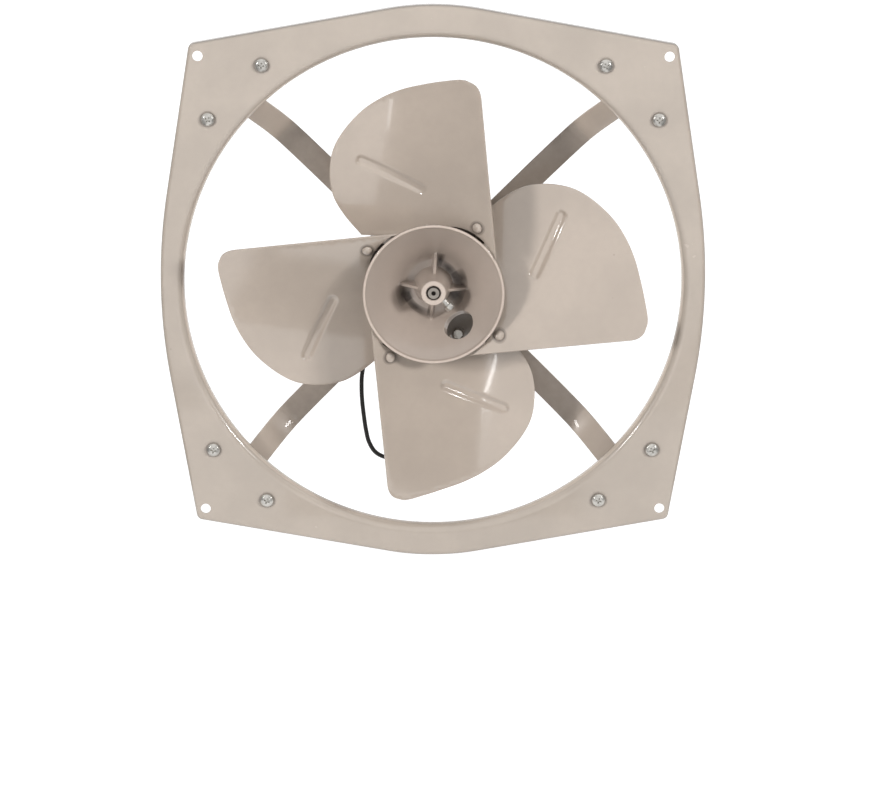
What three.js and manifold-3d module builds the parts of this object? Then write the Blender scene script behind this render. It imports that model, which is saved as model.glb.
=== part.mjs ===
// Industrial exhaust fan: a square pressed frame with a round opening, four flat arms that hold the motor
// behind it, and a four-blade fan whose cast hub sits on the front end of the motor shaft.
// Millimetres. +X is to the right seen from the front, +Y runs along the shaft from front to back, +Z is up.
// The origin is the centre of the opening, on the front face of the frame.
import * as THREE from 'three';
import { mergeVertices } from 'three/addons/utils/BufferGeometryUtils.js';
import Module from 'manifold-3d';

// Clearances and overruns that every piece shares
const seatGap = 0.3; // between two pieces that touch
const cutOverrun = 4; // by which a cut runs past the face that it opens
const fuseDepth = 0.8; // by which two shapes of one piece run into each other

// Fan sweep and the frame round it
const sweepRadius = 190;
const tipClearance = 30.6;
const openingRadius = sweepRadius + tipClearance;
const topBorder = 28.8;
const sideBorder = 20.8;
const plateHalfHeight = openingRadius + topBorder;
const plateHalfWidth = openingRadius + sideBorder;
const topEdgeRadius = 235;
const sideEdgeRadius = 505;
const topEdgeTilt = THREE.MathUtils.degToRad(10.1);
const sideEdgeTilt = THREE.MathUtils.degToRad(9.4);
const plateCornerRadius = 6;
const plateSheet = 1.6;
const rimBendRadius = 3;
const rimDepth = 12;
const lipBendRadius = 8;
const lipCollarLength = 1.5;
const mountingHoleInset = 15.6;
const mountingHolePlace = openingRadius - mountingHoleInset;
const mountingHoleRadius = 4.5;

// Screws that hold the arm feet to the frame
const frameScrewBorder = 24.6;
const frameScrewReach = openingRadius + frameScrewBorder;
const frameScrewSpread = 33.5;
const frameScrewRadius = 3;
const frameScrewHeadRadius = 6;
const frameScrewHeadHeight = 3.4;
const frameScrewTail = 1.5;
const recessWidth = 1.3;
const recessLength = 6;
const recessDepth = 1.8;
const headSkirtShare = 1 / 3;

// Arms: flat bar bent back from a foot strap on the frame to a lug on the motor
const barWidth = 22;
const barThickness = 3;
const footLength = 89;
const footPlane = plateSheet + seatGap + barThickness / 2;
const weldNutRadius = 5.77;
const weldNutThickness = 5;
const armPlane = 55;
const armBendShares = [
  [0.4555, 0], [0.6569, 0.041], [0.7775, 0.147], [0.8811, 0.273], [1.3905, 0.5155],
  [1.8779, 0.7287], [2.3663, 0.8643], [2.8537, 0.9225], [3.5046, 0.9612], [4.6827, 1],
];
const armEndMargin = 7.5;
const armBoltOverhang = 11;
const armBoltRadius = 3;
const armBoltHeadRadius = 5.77;
const armBoltHeadHeight = 4;

// Motor casing: front shield with lugs, ring housing and rear shield
const motorRadius = 62;
const casingWall = 3;
const armBoltReach = motorRadius + armBoltOverhang;
const lugThickness = 9;
const lugEndMargin = 9;
const housingLength = 30;
const frontDomeDepth = 16;
const rearDomeDepth = 14;
const rearSkirtLength = 8;
const boltCircleInset = 9;
const boltCircleRadius = motorRadius - boltCircleInset;
const boltTurn = THREE.MathUtils.degToRad(20);
const throughBoltRadius = 2;
const throughBoltHeadRadius = 4.6;
const throughBoltHeadHeight = 3.5;
const boltPadRadius = 6;
const boltPadRise = 1;
const boltSeatShare = 1 / 3;
const boltEndDepth = 5;

// Shaft, bearings and motor core
const shaftRadius = 6;
const bearingSeatRadius = 7.5;
const coreSeatRadius = 9;
const shaftChamfer = 0.8;
const centreHoleRadius = 1.8;
const centreHoleDepth = 2.5;
const bearingRadius = 17.5;
const bearingWidth = 11;
const bearingRingWall = 2.7;
const bearingSealThickness = 1;
const pocketWall = 3.2;
const coreSetIn = 2;
const coreLength = housingLength - 2 * coreSetIn;
const coreFit = 1.3;
const coreRadius = motorRadius - casingWall - coreFit;
const ironDepth = 21.7;
const boreRadius = coreRadius - ironDepth;
const airGap = 0.6;
const slotCount = 12;
const toothTip = 2.6;
const yokeDepth = 8.5;
const slotInnerRadius = boreRadius + toothTip;
const slotOuterRadius = coreRadius - yokeDepth;
const slotWidth = 7;
const windingOverhang = 7;

// Hub: a conical cup, open to the front, with a boss on the shaft
const hubRimAhead = 30.5;
const hubRimRadius = 60.9;
const hubRimBeadRadius = 1.25;
const hubWall = 3;
const coneSlope = 0.875;
const hubInnerDepth = 38.5;
const hubFloorBlend = 2.6;
const bossAhead = 25;
const bossTipRadius = 11;
const bossRootRadius = 17;
const bossTail = 2;
const ribThickness = 3;
const ribBossDepth = 19;
const ribWallDepth = 34.5;
const ribTurn = THREE.MathUtils.degToRad(-4);
const accessBearing = THREE.MathUtils.degToRad(145);
const accessHoleRadius = 14;
const accessHoleAhead = 7.5;
const accessCollarRadius = 19;
const accessCollarHeight = 1.22;
const setScrewBearing = THREE.MathUtils.degToRad(137.7);
const setScrewAhead = 9;
const setScrewRadius = 3;
const setScrewLength = 12.5;
const setScrewHeadRadius = 4.6;
const setScrewHeadHeight = 4.5;

// Blades: sheet pressed to a cambered, twisted surface. u runs across a blade, v from the shaft to its tip.
// A place on a blade is a share of a quarter turn from v, and a share of the way from the root to the tip.
const bladeCount = 4;
const bladeSheet = 1.6;
const bladeTurn = THREE.MathUtils.degToRad(0.24);
const bladeMidRadius = 110;
const bladeMidAhead = 8.4;
const bladePitchSlope = 0.346;
const bladeRakeSlope = 0.102;
const bladeCamberRadius = 194.6;
const bladeCamberOffset = 10;
const bladeTwistLength = 1923;
const bladeRootGap = 0.85;
const bladeRootRadius = hubRimRadius + hubRimBeadRadius + bladeRootGap;
const tongueLength = 16;
const bladeTongueRadius = bladeRootRadius - tongueLength;
const rootArcRise = 3.5;
const straightRootShares = [0.6653, -0.0003];
const straightTipShares = [0.1504, 0.8935];
const tipCornerShares = [0.1383, 0.9793];
const tipStartShares = [0.1124, 0.9925];
const bladeEdgeShares = [
  [0.0872, 1.0022], [0.0273, 0.9714], [-0.0349, 0.9416], [-0.0960, 0.9184], [-0.1632, 0.8861],
  [-0.2383, 0.8389], [-0.3327, 0.7579], [-0.3991, 0.6853], [-0.4700, 0.5685], [-0.5215, 0.4610],
  [-0.5462, 0.3887], [-0.5762, 0.2689], [-0.6106, 0.1128],
];
const rootArcStart = THREE.MathUtils.degToRad(59);
const rootArcEnd = THREE.MathUtils.degToRad(15);
const tongueArcStart = THREE.MathUtils.degToRad(12);
const tongueArcEnd = THREE.MathUtils.degToRad(-18);
const grooveStartShares = [-0.3238, 0.5226];
const grooveBendShares = [-0.2218, 0.3584];
const grooveEndShares = [-0.0779, 0.2140];
const grooveHalfWidth = 5.9;
const grooveDepth = 2.2;
const grooveHem = 1.2;

// Rivets and the cast pads on the hub that carry the blades, as shares of the hub rim's radius
const rivetPlaceShares = [[0.6371, 0.9524], [-0.0755, 0.867]];
const rivetRadius = 2.5;
const rivetHeadRadius = 4.5;
const rivetHeadHeight = 2.6;
const rivetTailRadius = 3.5;
const rivetTailHeight = 2;
const padThickness = 4;
const padOutlineShares = [
  [-0.1966, 0.4430], [0.3120, 0.3931], [0.6708, 0.6240], [0.7862, 0.8361],
  [0.7644, 1.0857], [0.4680, 1.0764], [0.0936, 0.9984], [-0.1966, 0.9672],
];
const webThickness = 5;
const webDepth = 15;
const webOverhang = 5.1;
const webSetIn = 16.9;

// Lead from the motor to its run capacitor
const leadRadius = 2;
const glandAngle = THREE.MathUtils.degToRad(216.87);
const glandSpigotRadius = 4;
const glandFlangeRadius = 8;
const glandFlangeThickness = 3;
const glandNoseRadius = 3;
const glandLength = 20;
const capacitorRadius = 15;
const capacitorLength = 46;
const capacitorSetBack = 2;
const clampWall = 1.5;
const clampWidth = 14;
const clampMargin = 10;
const clampScrewOffset = 12;
const clampScrewReach = capacitorRadius + clampScrewOffset;
const padDrop = 4;
const padMargin = 8;
const padReach = clampScrewReach + padMargin;
const padHeel = 12;
const padLength = 16;
const clampScrewRadius = 2;
const clampScrewHeadRadius = 4;
const clampScrewHeadHeight = 2.6;
const clampScrewLength = 8;
const bootLength = 10;
const bootSnoutRadius = 4.5;
const bootSnoutLength = 4;
const leadRoute = [
  [-56.6, 81.1, -75.8], [-62, 81.2, -88], [-64.7, 81.3, -101], [-65.2, 81.3, -114], [-64.6, 81.3, -127],
  [-63.2, 81.3, -140], [-61.4, 81.4, -153], [-58.5, 81.7, -165.5], [-52.2, 82.8, -175.9],
  [-41.8, 85.1, -181.6], [-29, 89.4, -182.4], [-16.8, 95.6, -177.8], [-7.6, 102.6, -168.2],
  [-2.4, 109.6, -154.6], [-0.4, 115.4, -138.4], [0, 118.6, -120.6],
];

// Facets
const openingFacets = 48;
const edgeFacets = 3;
const bendFacets = 2;
const bigFacets = 24;
const hubFacets = 32;
const midFacets = 16;
const smallFacets = 8;
const nutFacets = 6;
const bladeColumns = 8;
const bladeRows = 3;
const outlineFacets = 18;
const grooveRows = 4;
const grooveCutRows = 2;
const padColumns = 6;
const padRows = 1;
const arcFacets = 3;
const domeFacets = 3;
const leadFacets = 8;
const leadSteps = 36;

// Planes along the shaft that follow from the sizes above
const hubFloor = hubInnerDepth - hubRimAhead;
const hubBack = hubFloor + hubWall;
const bossBack = hubBack + bossTail;
const hubToMotor = 7;
const motorFront = bossBack + hubToMotor;
const frontBearingFront = motorFront + casingWall + seatGap;
const frontBearingBack = frontBearingFront + bearingWidth;
const armBack = armPlane + barThickness / 2;
const lugFront = armBack + seatGap;
const lugBack = lugFront + lugThickness;
const housingFront = lugBack + seatGap;
const housingBack = housingFront + housingLength;
const rearShieldFront = housingBack + seatGap;
const rearDomeStart = rearShieldFront + rearSkirtLength;
const motorBack = rearDomeStart + rearDomeDepth;
const rearBearingBack = motorBack - casingWall - seatGap;
const rearBearingFront = rearBearingBack - bearingWidth;
const coreFront = (housingFront + housingBack - coreLength) / 2;
const coreBack = coreFront + coreLength;
const pocketRadius = bearingRadius + seatGap;
const pocketOuterRadius = pocketRadius + pocketWall;
const casingInnerRadius = motorRadius - casingWall;
const shaftHoleRadius = bearingSeatRadius + seatGap;
const armBoltHoleRadius = armBoltRadius + seatGap;
const armLug = armBoltReach + lugEndMargin;
const sealRadius = bearingSeatRadius + seatGap + bearingRingWall + bearingSealThickness;

const quarterTurn = Math.PI / 2;
const wasm = await Module();
wasm.setup();

// A closed solid from a three.js geometry: one vertex per corner, no triangle of zero area
function solid(geometry) {
  const bare = new THREE.BufferGeometry();
  bare.setAttribute('position', geometry.attributes.position);
  bare.setIndex(geometry.index);
  const merged = mergeVertices(bare);
  const triangles = [];
  for (let i = 0; i < merged.index.count; i += 3) {
    const [a, b, c] = [merged.index.getX(i), merged.index.getX(i + 1), merged.index.getX(i + 2)];
    if (a !== b && b !== c && c !== a) {
      triangles.push(a, b, c);
    }
  }
  const mesh = new wasm.Mesh({
    numProp: 3,
    vertProperties: Float32Array.from(merged.attributes.position.array),
    triVerts: Uint32Array.from(triangles),
  });
  return new wasm.Manifold(mesh);
}

// The three.js geometry of a solid
function geometryOf(shape) {
  const mesh = shape.getMesh();
  const geometry = new THREE.BufferGeometry();
  geometry.setAttribute('position', new THREE.BufferAttribute(mesh.vertProperties, 3));
  geometry.setIndex(new THREE.BufferAttribute(mesh.triVerts, 1));
  geometry.computeVertexNormals();
  return geometry;
}

// Solid of revolution about the shaft's axis, from a closed loop of [radius, depth] corners
function turned(corners, facets) {
  const loop = corners.map(([radius, depth]) => new THREE.Vector2(radius, depth));
  if (THREE.ShapeUtils.area(loop) < 0) loop.reverse();
  loop.push(loop[0].clone());
  return solid(new THREE.LatheGeometry(loop, facets));
}

// Plain cylinder along the shaft's axis
function rod(radius, front, back, facets) {
  const geometry = new THREE.CylinderGeometry(radius, radius, back - front, facets);
  geometry.translate(0, (front + back) / 2, 0);
  return solid(geometry);
}

// Slab whose outline lies in the frame's plane, between two depths
function plateSlab(shape, front, back) {
  const settings = { depth: back - front, bevelEnabled: false, curveSegments: edgeFacets };
  const geometry = new THREE.ExtrudeGeometry(shape, settings);
  geometry.rotateX(quarterTurn);
  geometry.translate(0, back, 0);
  return solid(geometry);
}

// Box between two corners
function block([x0, y0, z0], [x1, y1, z1]) {
  const geometry = new THREE.BoxGeometry(x1 - x0, y1 - y0, z1 - z0);
  geometry.translate((x0 + x1) / 2, (y0 + y1) / 2, (z0 + z1) / 2);
  return solid(geometry);
}

// The same solid moved by a matrix
function moved(shape, matrix) {
  return shape.transform(matrix.elements);
}

function shifted(shape, x, y, z) {
  return moved(shape, new THREE.Matrix4().makeTranslation(x, y, z));
}

// The same solid turned about the shaft's axis, from +X towards +Z
function swung(shape, angle) {
  return moved(shape, new THREE.Matrix4().makeRotationY(-angle));
}

// Solid whose own axis, +Y, is laid along a direction from a point
function aimed(shape, direction, x, y, z) {
  const turn = new THREE.Quaternion().setFromUnitVectors(new THREE.Vector3(0, 1, 0), direction);
  const matrix = new THREE.Matrix4().makeRotationFromQuaternion(turn);
  matrix.setPosition(x, y, z);
  return moved(shape, matrix);
}

// Curved sheet between a front and a back surface, each a function of two shares from 0 to 1
function sheet(frontAt, backAt, columns, rows) {
  const positions = [];
  const triangles = [];
  for (const surfaceAt of [frontAt, backAt]) {
    for (let row = 0; row <= rows; row += 1) {
      for (let column = 0; column <= columns; column += 1) {
        positions.push(...surfaceAt(column / columns, row / rows));
      }
    }
  }
  const layer = (columns + 1) * (rows + 1);
  const at = (column, row) => row * (columns + 1) + column;
  const quad = (a, b, c, d) => triangles.push(a, b, c, a, c, d);
  for (let row = 0; row < rows; row += 1) {
    for (let column = 0; column < columns; column += 1) {
      const [a, b] = [at(column, row), at(column + 1, row)];
      const [c, d] = [at(column + 1, row + 1), at(column, row + 1)];
      quad(a, b, c, d);
      quad(layer + a, layer + d, layer + c, layer + b);
    }
  }
  for (let column = 0; column < columns; column += 1) {
    quad(at(column, 0), layer + at(column, 0), layer + at(column + 1, 0), at(column + 1, 0));
    quad(at(column + 1, rows), layer + at(column + 1, rows), layer + at(column, rows), at(column, rows));
  }
  for (let row = 0; row < rows; row += 1) {
    quad(at(0, row + 1), layer + at(0, row + 1), layer + at(0, row), at(0, row));
    quad(at(columns, row), layer + at(columns, row), layer + at(columns, row + 1), at(columns, row + 1));
  }
  const geometry = new THREE.BufferGeometry();
  geometry.setAttribute('position', new THREE.Float32BufferAttribute(positions, 3));
  geometry.setIndex(triangles);
  return solid(geometry);
}

// Outline of the frame, drawn a given distance inside its real edge: four bowed sides, four round corners
function frameOutline(inset) {
  const topCentre = plateHalfHeight - topEdgeRadius;
  const sideCentre = plateHalfWidth - sideEdgeRadius;
  const sideReach = sideCentre * Math.cos(sideEdgeTilt) + sideEdgeRadius - plateCornerRadius;
  const topReach = topCentre * Math.cos(topEdgeTilt) + topEdgeRadius - plateCornerRadius;
  const spread = Math.cos(sideEdgeTilt + topEdgeTilt);
  const cornerX = (sideReach * Math.cos(topEdgeTilt) - topReach * Math.sin(sideEdgeTilt)) / spread;
  const cornerZ = (topReach * Math.cos(sideEdgeTilt) - sideReach * Math.sin(topEdgeTilt)) / spread;
  const shape = new THREE.Shape();
  for (let quarter = 0; quarter < 4; quarter += 1) {
    const base = quarter * quarterTurn;
    const upright = quarter % 2 === 0;
    const tilt = upright ? sideEdgeTilt : topEdgeTilt;
    const nextTilt = upright ? topEdgeTilt : sideEdgeTilt;
    const edgeRadius = (upright ? sideEdgeRadius : topEdgeRadius) - inset;
    const edgeCentre = upright ? sideCentre : topCentre;
    const [x, z] = [edgeCentre * Math.cos(base), edgeCentre * Math.sin(base)];
    shape.absarc(x, z, edgeRadius, base - tilt, base + tilt, false);
    const signX = quarter === 0 || quarter === 3 ? 1 : -1;
    const signZ = quarter < 2 ? 1 : -1;
    const cornerRadius = plateCornerRadius - inset;
    const [start, end] = [base + tilt, base + quarterTurn - nextTilt];
    shape.absarc(signX * cornerX, signZ * cornerZ, cornerRadius, start, end, false);
  }
  return shape;
}

// Tray with a rounded front edge, open to the back, from the frame's outline
function frameTray(inset, bendRadius, front) {
  const depth = rimDepth + cutOverrun;
  const geometry = new THREE.ExtrudeGeometry(frameOutline(inset), {
    depth,
    bevelThickness: bendRadius,
    bevelSize: bendRadius,
    bevelOffset: -bendRadius,
    bevelSegments: bendFacets,
    curveSegments: edgeFacets,
  });
  geometry.rotateX(quarterTurn);
  geometry.translate(0, front + depth + bendRadius, 0);
  return solid(geometry);
}

// Lip that rolls back from the face into a short collar round the opening
function openingLip() {
  const centre = openingRadius + lipBendRadius;
  const corners = [[centre + fuseDepth, plateSheet], [centre + fuseDepth, 0]];
  for (let step = 0; step <= arcFacets; step += 1) {
    const angle = (step / arcFacets) * quarterTurn;
    corners.push([centre - lipBendRadius * Math.sin(angle), lipBendRadius * (1 - Math.cos(angle))]);
  }
  corners.push([openingRadius, lipBendRadius + lipCollarLength]);
  corners.push([openingRadius + plateSheet, lipBendRadius + lipCollarLength]);
  const innerBend = lipBendRadius - plateSheet;
  for (let step = arcFacets; step >= 0; step -= 1) {
    const angle = (step / arcFacets) * quarterTurn;
    corners.push([centre - innerBend * Math.sin(angle), lipBendRadius - innerBend * Math.cos(angle)]);
  }
  return turned(corners, openingFacets);
}

// Places of the eight frame screws: two at each diagonal, either side of the arm
function frameScrewPlaces() {
  const places = [];
  for (let arm = 0; arm < 4; arm += 1) {
    const angle = quarterTurn / 2 + arm * quarterTurn;
    for (const side of [-1, 1]) {
      const across = side * frameScrewSpread;
      places.push([
        frameScrewReach * Math.cos(angle) - across * Math.sin(angle),
        frameScrewReach * Math.sin(angle) + across * Math.cos(angle),
      ]);
    }
  }
  return places;
}

function framePlate() {
  const inner = frameTray(plateSheet, rimBendRadius - plateSheet, plateSheet);
  const far = plateHalfHeight + plateHalfWidth;
  const beyond = block([-far, rimDepth, -far], [far, far, far]);
  const opening = rod(openingRadius + lipBendRadius, -cutOverrun, rimDepth + cutOverrun, openingFacets);
  const tray = frameTray(0, rimBendRadius, 0).subtract(inner).subtract(beyond);
  let plate = tray.subtract(opening).add(openingLip());
  for (const [x, z] of frameScrewPlaces()) {
    const screwHole = rod(frameScrewRadius + seatGap, -cutOverrun, cutOverrun, smallFacets);
    plate = plate.subtract(shifted(screwHole, x, 0, z));
  }
  for (const side of [-1, 1]) {
    for (const end of [-1, 1]) {
      const hole = rod(mountingHoleRadius, -cutOverrun, cutOverrun, smallFacets);
      plate = plate.subtract(shifted(hole, side * mountingHolePlace, 0, end * mountingHolePlace));
    }
  }
  return plate;
}

// Flat bar of even thickness along a path of [reach, depth] bends, as wide as the bar
function bentBar(path, thickness, width) {
  const left = [];
  const right = [];
  path.forEach(([reach, depth], index) => {
    const [before, after] = [path[Math.max(index - 1, 0)], path[Math.min(index + 1, path.length - 1)]];
    const incoming = new THREE.Vector2(reach - before[0], depth - before[1]).normalize();
    const outgoing = new THREE.Vector2(after[0] - reach, after[1] - depth).normalize();
    const along = incoming.clone().add(outgoing).normalize();
    const square = incoming.lengthSq() > 0 ? incoming : outgoing;
    const mitre = thickness / 2 / along.dot(square);
    left.push([reach - along.y * mitre, depth + along.x * mitre]);
    right.push([reach + along.y * mitre, depth - along.x * mitre]);
  });
  const shape = new THREE.Shape([...left, ...right.reverse()].map(([x, y]) => new THREE.Vector2(x, y)));
  const geometry = new THREE.ExtrudeGeometry(shape, { depth: width, bevelEnabled: false });
  geometry.translate(0, 0, -width / 2);
  return solid(geometry);
}

// One arm lying along +X: foot strap, bent bar, two weld nuts
function motorArm() {
  const path = [[frameScrewReach, footPlane]];
  for (const [reachShare, depthShare] of armBendShares) {
    const depth = footPlane + depthShare * (armPlane - footPlane);
    path.push([frameScrewReach - reachShare * frameScrewBorder, depth]);
  }
  path.push([armBoltReach - armEndMargin, armPlane]);
  const [footFront, footBack] = [footPlane - barThickness / 2, footPlane + barThickness / 2];
  const inner = [frameScrewReach - barWidth / 2, footFront, -footLength / 2];
  const outer = [frameScrewReach + barWidth / 2, footBack, footLength / 2];
  let arm = bentBar(path, barThickness, barWidth).add(block(inner, outer));
  for (const side of [-1, 1]) {
    const nut = rod(weldNutRadius, footBack - fuseDepth, footBack + weldNutThickness, nutFacets);
    arm = arm.add(shifted(nut, frameScrewReach, 0, side * frameScrewSpread));
  }
  for (const side of [-1, 1]) {
    const back = footBack + weldNutThickness + cutOverrun;
    const hole = rod(frameScrewRadius + seatGap, footFront - cutOverrun, back, smallFacets);
    arm = arm.subtract(shifted(hole, frameScrewReach, 0, side * frameScrewSpread));
  }
  const boltHole = rod(armBoltHoleRadius, armPlane - cutOverrun, armPlane + cutOverrun, smallFacets);
  return arm.subtract(shifted(boltHole, armBoltReach, 0, 0));
}

// Screw with its head to the front and its underside at depth 0: domed head with a cross recess
function crossScrew(radius, headRadius, headHeight, length) {
  const skirt = headSkirtShare * headHeight;
  const corners = [[0, length], [radius, length], [radius, 0], [headRadius, 0], [headRadius, -skirt]];
  for (let step = 1; step < bendFacets; step += 1) {
    const angle = (step / bendFacets) * quarterTurn;
    const rise = skirt + (headHeight - skirt) * Math.sin(angle);
    corners.push([headRadius * Math.sqrt(Math.cos(angle)), -rise]);
  }
  corners.push([0, -headHeight]);
  const size = headRadius / frameScrewHeadRadius;
  const [half, narrow] = [size * recessLength / 2, size * recessWidth / 2];
  const top = -headHeight - cutOverrun;
  const bottom = -headHeight + recessDepth * (headHeight / frameScrewHeadHeight);
  const acrossSlot = block([-half, top, -narrow], [half, bottom, narrow]);
  const uprightSlot = block([-narrow, top, -half], [narrow, bottom, half]);
  return turned(corners, smallFacets).subtract(acrossSlot).subtract(uprightSlot);
}

// Hexagon-head bolt with its head to the front and its underside at depth 0
function hexBolt(radius, headRadius, headHeight, length) {
  return rod(headRadius, -headHeight, 0, nutFacets).add(rod(radius, -fuseDepth, length, smallFacets));
}

// Points of a dome from a nose to the full radius, as a quarter of an ellipse
function dome(noseRadius, fullRadius, noseDepth, fullDepth) {
  const points = [];
  for (let step = 0; step <= domeFacets; step += 1) {
    const angle = (step / domeFacets) * quarterTurn;
    const radius = noseRadius + (fullRadius - noseRadius) * Math.sin(angle);
    points.push([radius, fullDepth + (noseDepth - fullDepth) * Math.cos(angle)]);
  }
  return points;
}

// Places of the four through bolts, turned from the arms
function throughBoltPlaces() {
  const places = [];
  for (let bolt = 0; bolt < 4; bolt += 1) {
    const angle = quarterTurn / 2 - boltTurn + bolt * quarterTurn;
    places.push([boltCircleRadius * Math.cos(angle), boltCircleRadius * Math.sin(angle)]);
  }
  return places;
}

const throughBoltHoleRadius = throughBoltRadius + seatGap;
const boltHeadSeat = motorFront + boltSeatShare * frontDomeDepth;
const boltEnd = motorBack - boltEndDepth;

function frontEndShield() {
  const pocketEnd = frontBearingBack + seatGap;
  const noseBack = motorFront + casingWall;
  const outer = dome(pocketOuterRadius, motorRadius, motorFront, motorFront + frontDomeDepth);
  const inner = dome(pocketOuterRadius, casingInnerRadius, noseBack + fuseDepth, noseBack + frontDomeDepth);
  const corners = [[shaftHoleRadius, motorFront], ...outer];
  corners.push([motorRadius, lugBack], [casingInnerRadius, lugBack], ...inner.reverse());
  corners.push([pocketOuterRadius, pocketEnd], [pocketRadius, pocketEnd]);
  corners.push([pocketRadius, noseBack], [shaftHoleRadius, noseBack]);
  let shield = turned(corners, bigFacets);
  const hollowFront = motorFront + frontDomeDepth + casingWall;
  const hollow = rod(casingInnerRadius, hollowFront, lugBack + cutOverrun, bigFacets);
  for (let lug = 0; lug < 4; lug += 1) {
    const root = casingInnerRadius - casingWall;
    const bar = block([root, lugFront, -barWidth / 2], [armLug, lugBack, barWidth / 2]);
    const hole = rod(armBoltHoleRadius, lugFront - cutOverrun, lugBack - casingWall, smallFacets);
    const shape = bar.subtract(hollow).subtract(shifted(hole, armBoltReach, 0, 0));
    shield = shield.add(swung(shape, quarterTurn / 2 + lug * quarterTurn));
  }
  for (const [x, z] of throughBoltPlaces()) {
    const padFront = boltHeadSeat - boltPadRise;
    const pad = rod(boltPadRadius, padFront, motorFront + frontDomeDepth, smallFacets);
    const hole = rod(throughBoltHoleRadius, padFront - cutOverrun, lugBack, smallFacets);
    shield = shield.add(shifted(pad, x, 0, z)).subtract(shifted(hole, x, 0, z));
  }
  return shield;
}

function motorHousing() {
  const corners = [
    [casingInnerRadius - seatGap, housingFront], [motorRadius, housingFront],
    [motorRadius, housingBack], [casingInnerRadius - seatGap, housingBack],
  ];
  const centre = (housingFront + housingBack) / 2;
  const padBottom = -motorRadius - padDrop;
  const inner = rod(casingInnerRadius, housingFront - cutOverrun, housingBack + cutOverrun, bigFacets);
  const padFront = clampCentre - padLength / 2;
  const padBack = clampCentre + padLength / 2;
  const pad = block([-padHeel, padFront, padBottom], [padReach, padBack, -casingInnerRadius / 2]);
  const screwHole = rod(clampScrewRadius + seatGap, -cutOverrun, clampScrewLength + fuseDepth, smallFacets);
  const up = new THREE.Vector3(0, 0, 1);
  const glandHoleRadius = glandSpigotRadius + seatGap;
  const glandHole = rod(glandHoleRadius, casingInnerRadius / 2, motorRadius + cutOverrun, smallFacets);
  return turned(corners, bigFacets)
    .add(pad.subtract(inner))
    .subtract(aimed(screwHole, up, clampScrewReach, clampCentre, padBottom))
    .subtract(aimed(glandHole, glandDirection, 0, centre, 0));
}

function rearEndShield() {
  const pocketStart = rearBearingFront - seatGap;
  const innerBack = motorBack - casingWall;
  const outer = dome(pocketOuterRadius, motorRadius, motorBack, rearDomeStart);
  const inner = dome(pocketOuterRadius, casingInnerRadius, innerBack - fuseDepth, rearDomeStart - casingWall);
  const corners = [[casingInnerRadius, rearShieldFront], [motorRadius, rearShieldFront], ...outer.reverse()];
  corners.push([0, motorBack], [0, innerBack], [pocketRadius, innerBack], [pocketRadius, pocketStart]);
  corners.push([pocketOuterRadius, pocketStart], ...inner);
  let shield = turned(corners, bigFacets);
  for (const [x, z] of throughBoltPlaces()) {
    const bossEnd = boltEnd + 2 * seatGap + casingWall / 2;
    const boss = rod(boltPadRadius - boltPadRise, rearDomeStart, bossEnd, smallFacets);
    const hole = rod(throughBoltHoleRadius, rearDomeStart - cutOverrun, boltEnd + seatGap, smallFacets);
    shield = shield.add(shifted(boss, x, 0, z)).subtract(shifted(hole, x, 0, z));
  }
  return shield;
}

// Outer ring of a bearing, with the seal on each side that reaches in to the inner ring
function bearingOuter(front) {
  const back = front + bearingWidth;
  const raceRadius = bearingRadius - bearingRingWall;
  return turned([
    [bearingRadius, front], [bearingRadius, back], [sealRadius, back],
    [sealRadius, back - bearingSealThickness], [raceRadius, back - bearingSealThickness],
    [raceRadius, front + bearingSealThickness],
    [sealRadius, front + bearingSealThickness], [sealRadius, front],
  ], midFacets);
}

function bearingInner(front) {
  const [inner, outer] = [bearingSeatRadius + seatGap, sealRadius - seatGap];
  const back = front + bearingWidth;
  return turned([[inner, front], [outer, front], [outer, back], [inner, back]], midFacets);
}

// Slot of the stator core, or the coil side that fills it, lying along +X
function slotShape(clearance) {
  const shape = new THREE.Shape();
  const half = slotWidth / 2 - clearance;
  shape.moveTo(slotInnerRadius + clearance, -half);
  shape.lineTo(slotOuterRadius - clearance, -half);
  shape.lineTo(slotOuterRadius - clearance, half);
  shape.lineTo(slotInnerRadius + clearance, half);
  shape.closePath();
  return shape;
}

function statorCore() {
  let core = turned([
    [boreRadius, coreFront], [coreRadius, coreFront], [coreRadius, coreBack], [boreRadius, coreBack],
  ], bigFacets);
  const slot = plateSlab(slotShape(0), coreFront - cutOverrun, coreBack + cutOverrun);
  for (let index = 0; index < slotCount; index += 1) {
    core = core.subtract(swung(slot, index * 2 * Math.PI / slotCount));
  }
  for (const [x, z] of throughBoltPlaces()) {
    const hole = rod(throughBoltHoleRadius, coreFront - cutOverrun, coreBack + cutOverrun, smallFacets);
    core = core.subtract(shifted(hole, x, 0, z));
  }
  return core;
}

function statorWinding() {
  const [inner, outer] = [slotInnerRadius + seatGap, slotOuterRadius - seatGap];
  const ring = (front, back) => {
    const corners = [[inner, front], [outer, front], [outer, back], [inner, back]];
    return turned(corners, bigFacets);
  };
  const frontRing = ring(coreFront - seatGap - windingOverhang, coreFront - seatGap);
  const backRing = ring(coreBack + seatGap, coreBack + seatGap + windingOverhang);
  let winding = frontRing.add(backRing);
  const side = plateSlab(slotShape(seatGap), coreFront - seatGap - fuseDepth, coreBack + seatGap + fuseDepth);
  for (let index = 0; index < slotCount; index += 1) {
    winding = winding.add(swung(side, index * 2 * Math.PI / slotCount));
  }
  return winding;
}

function rotorCore() {
  const [inner, outer] = [coreSeatRadius + seatGap, boreRadius - airGap];
  return turned([[inner, coreFront], [outer, coreFront], [outer, coreBack], [inner, coreBack]], bigFacets);
}

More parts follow.
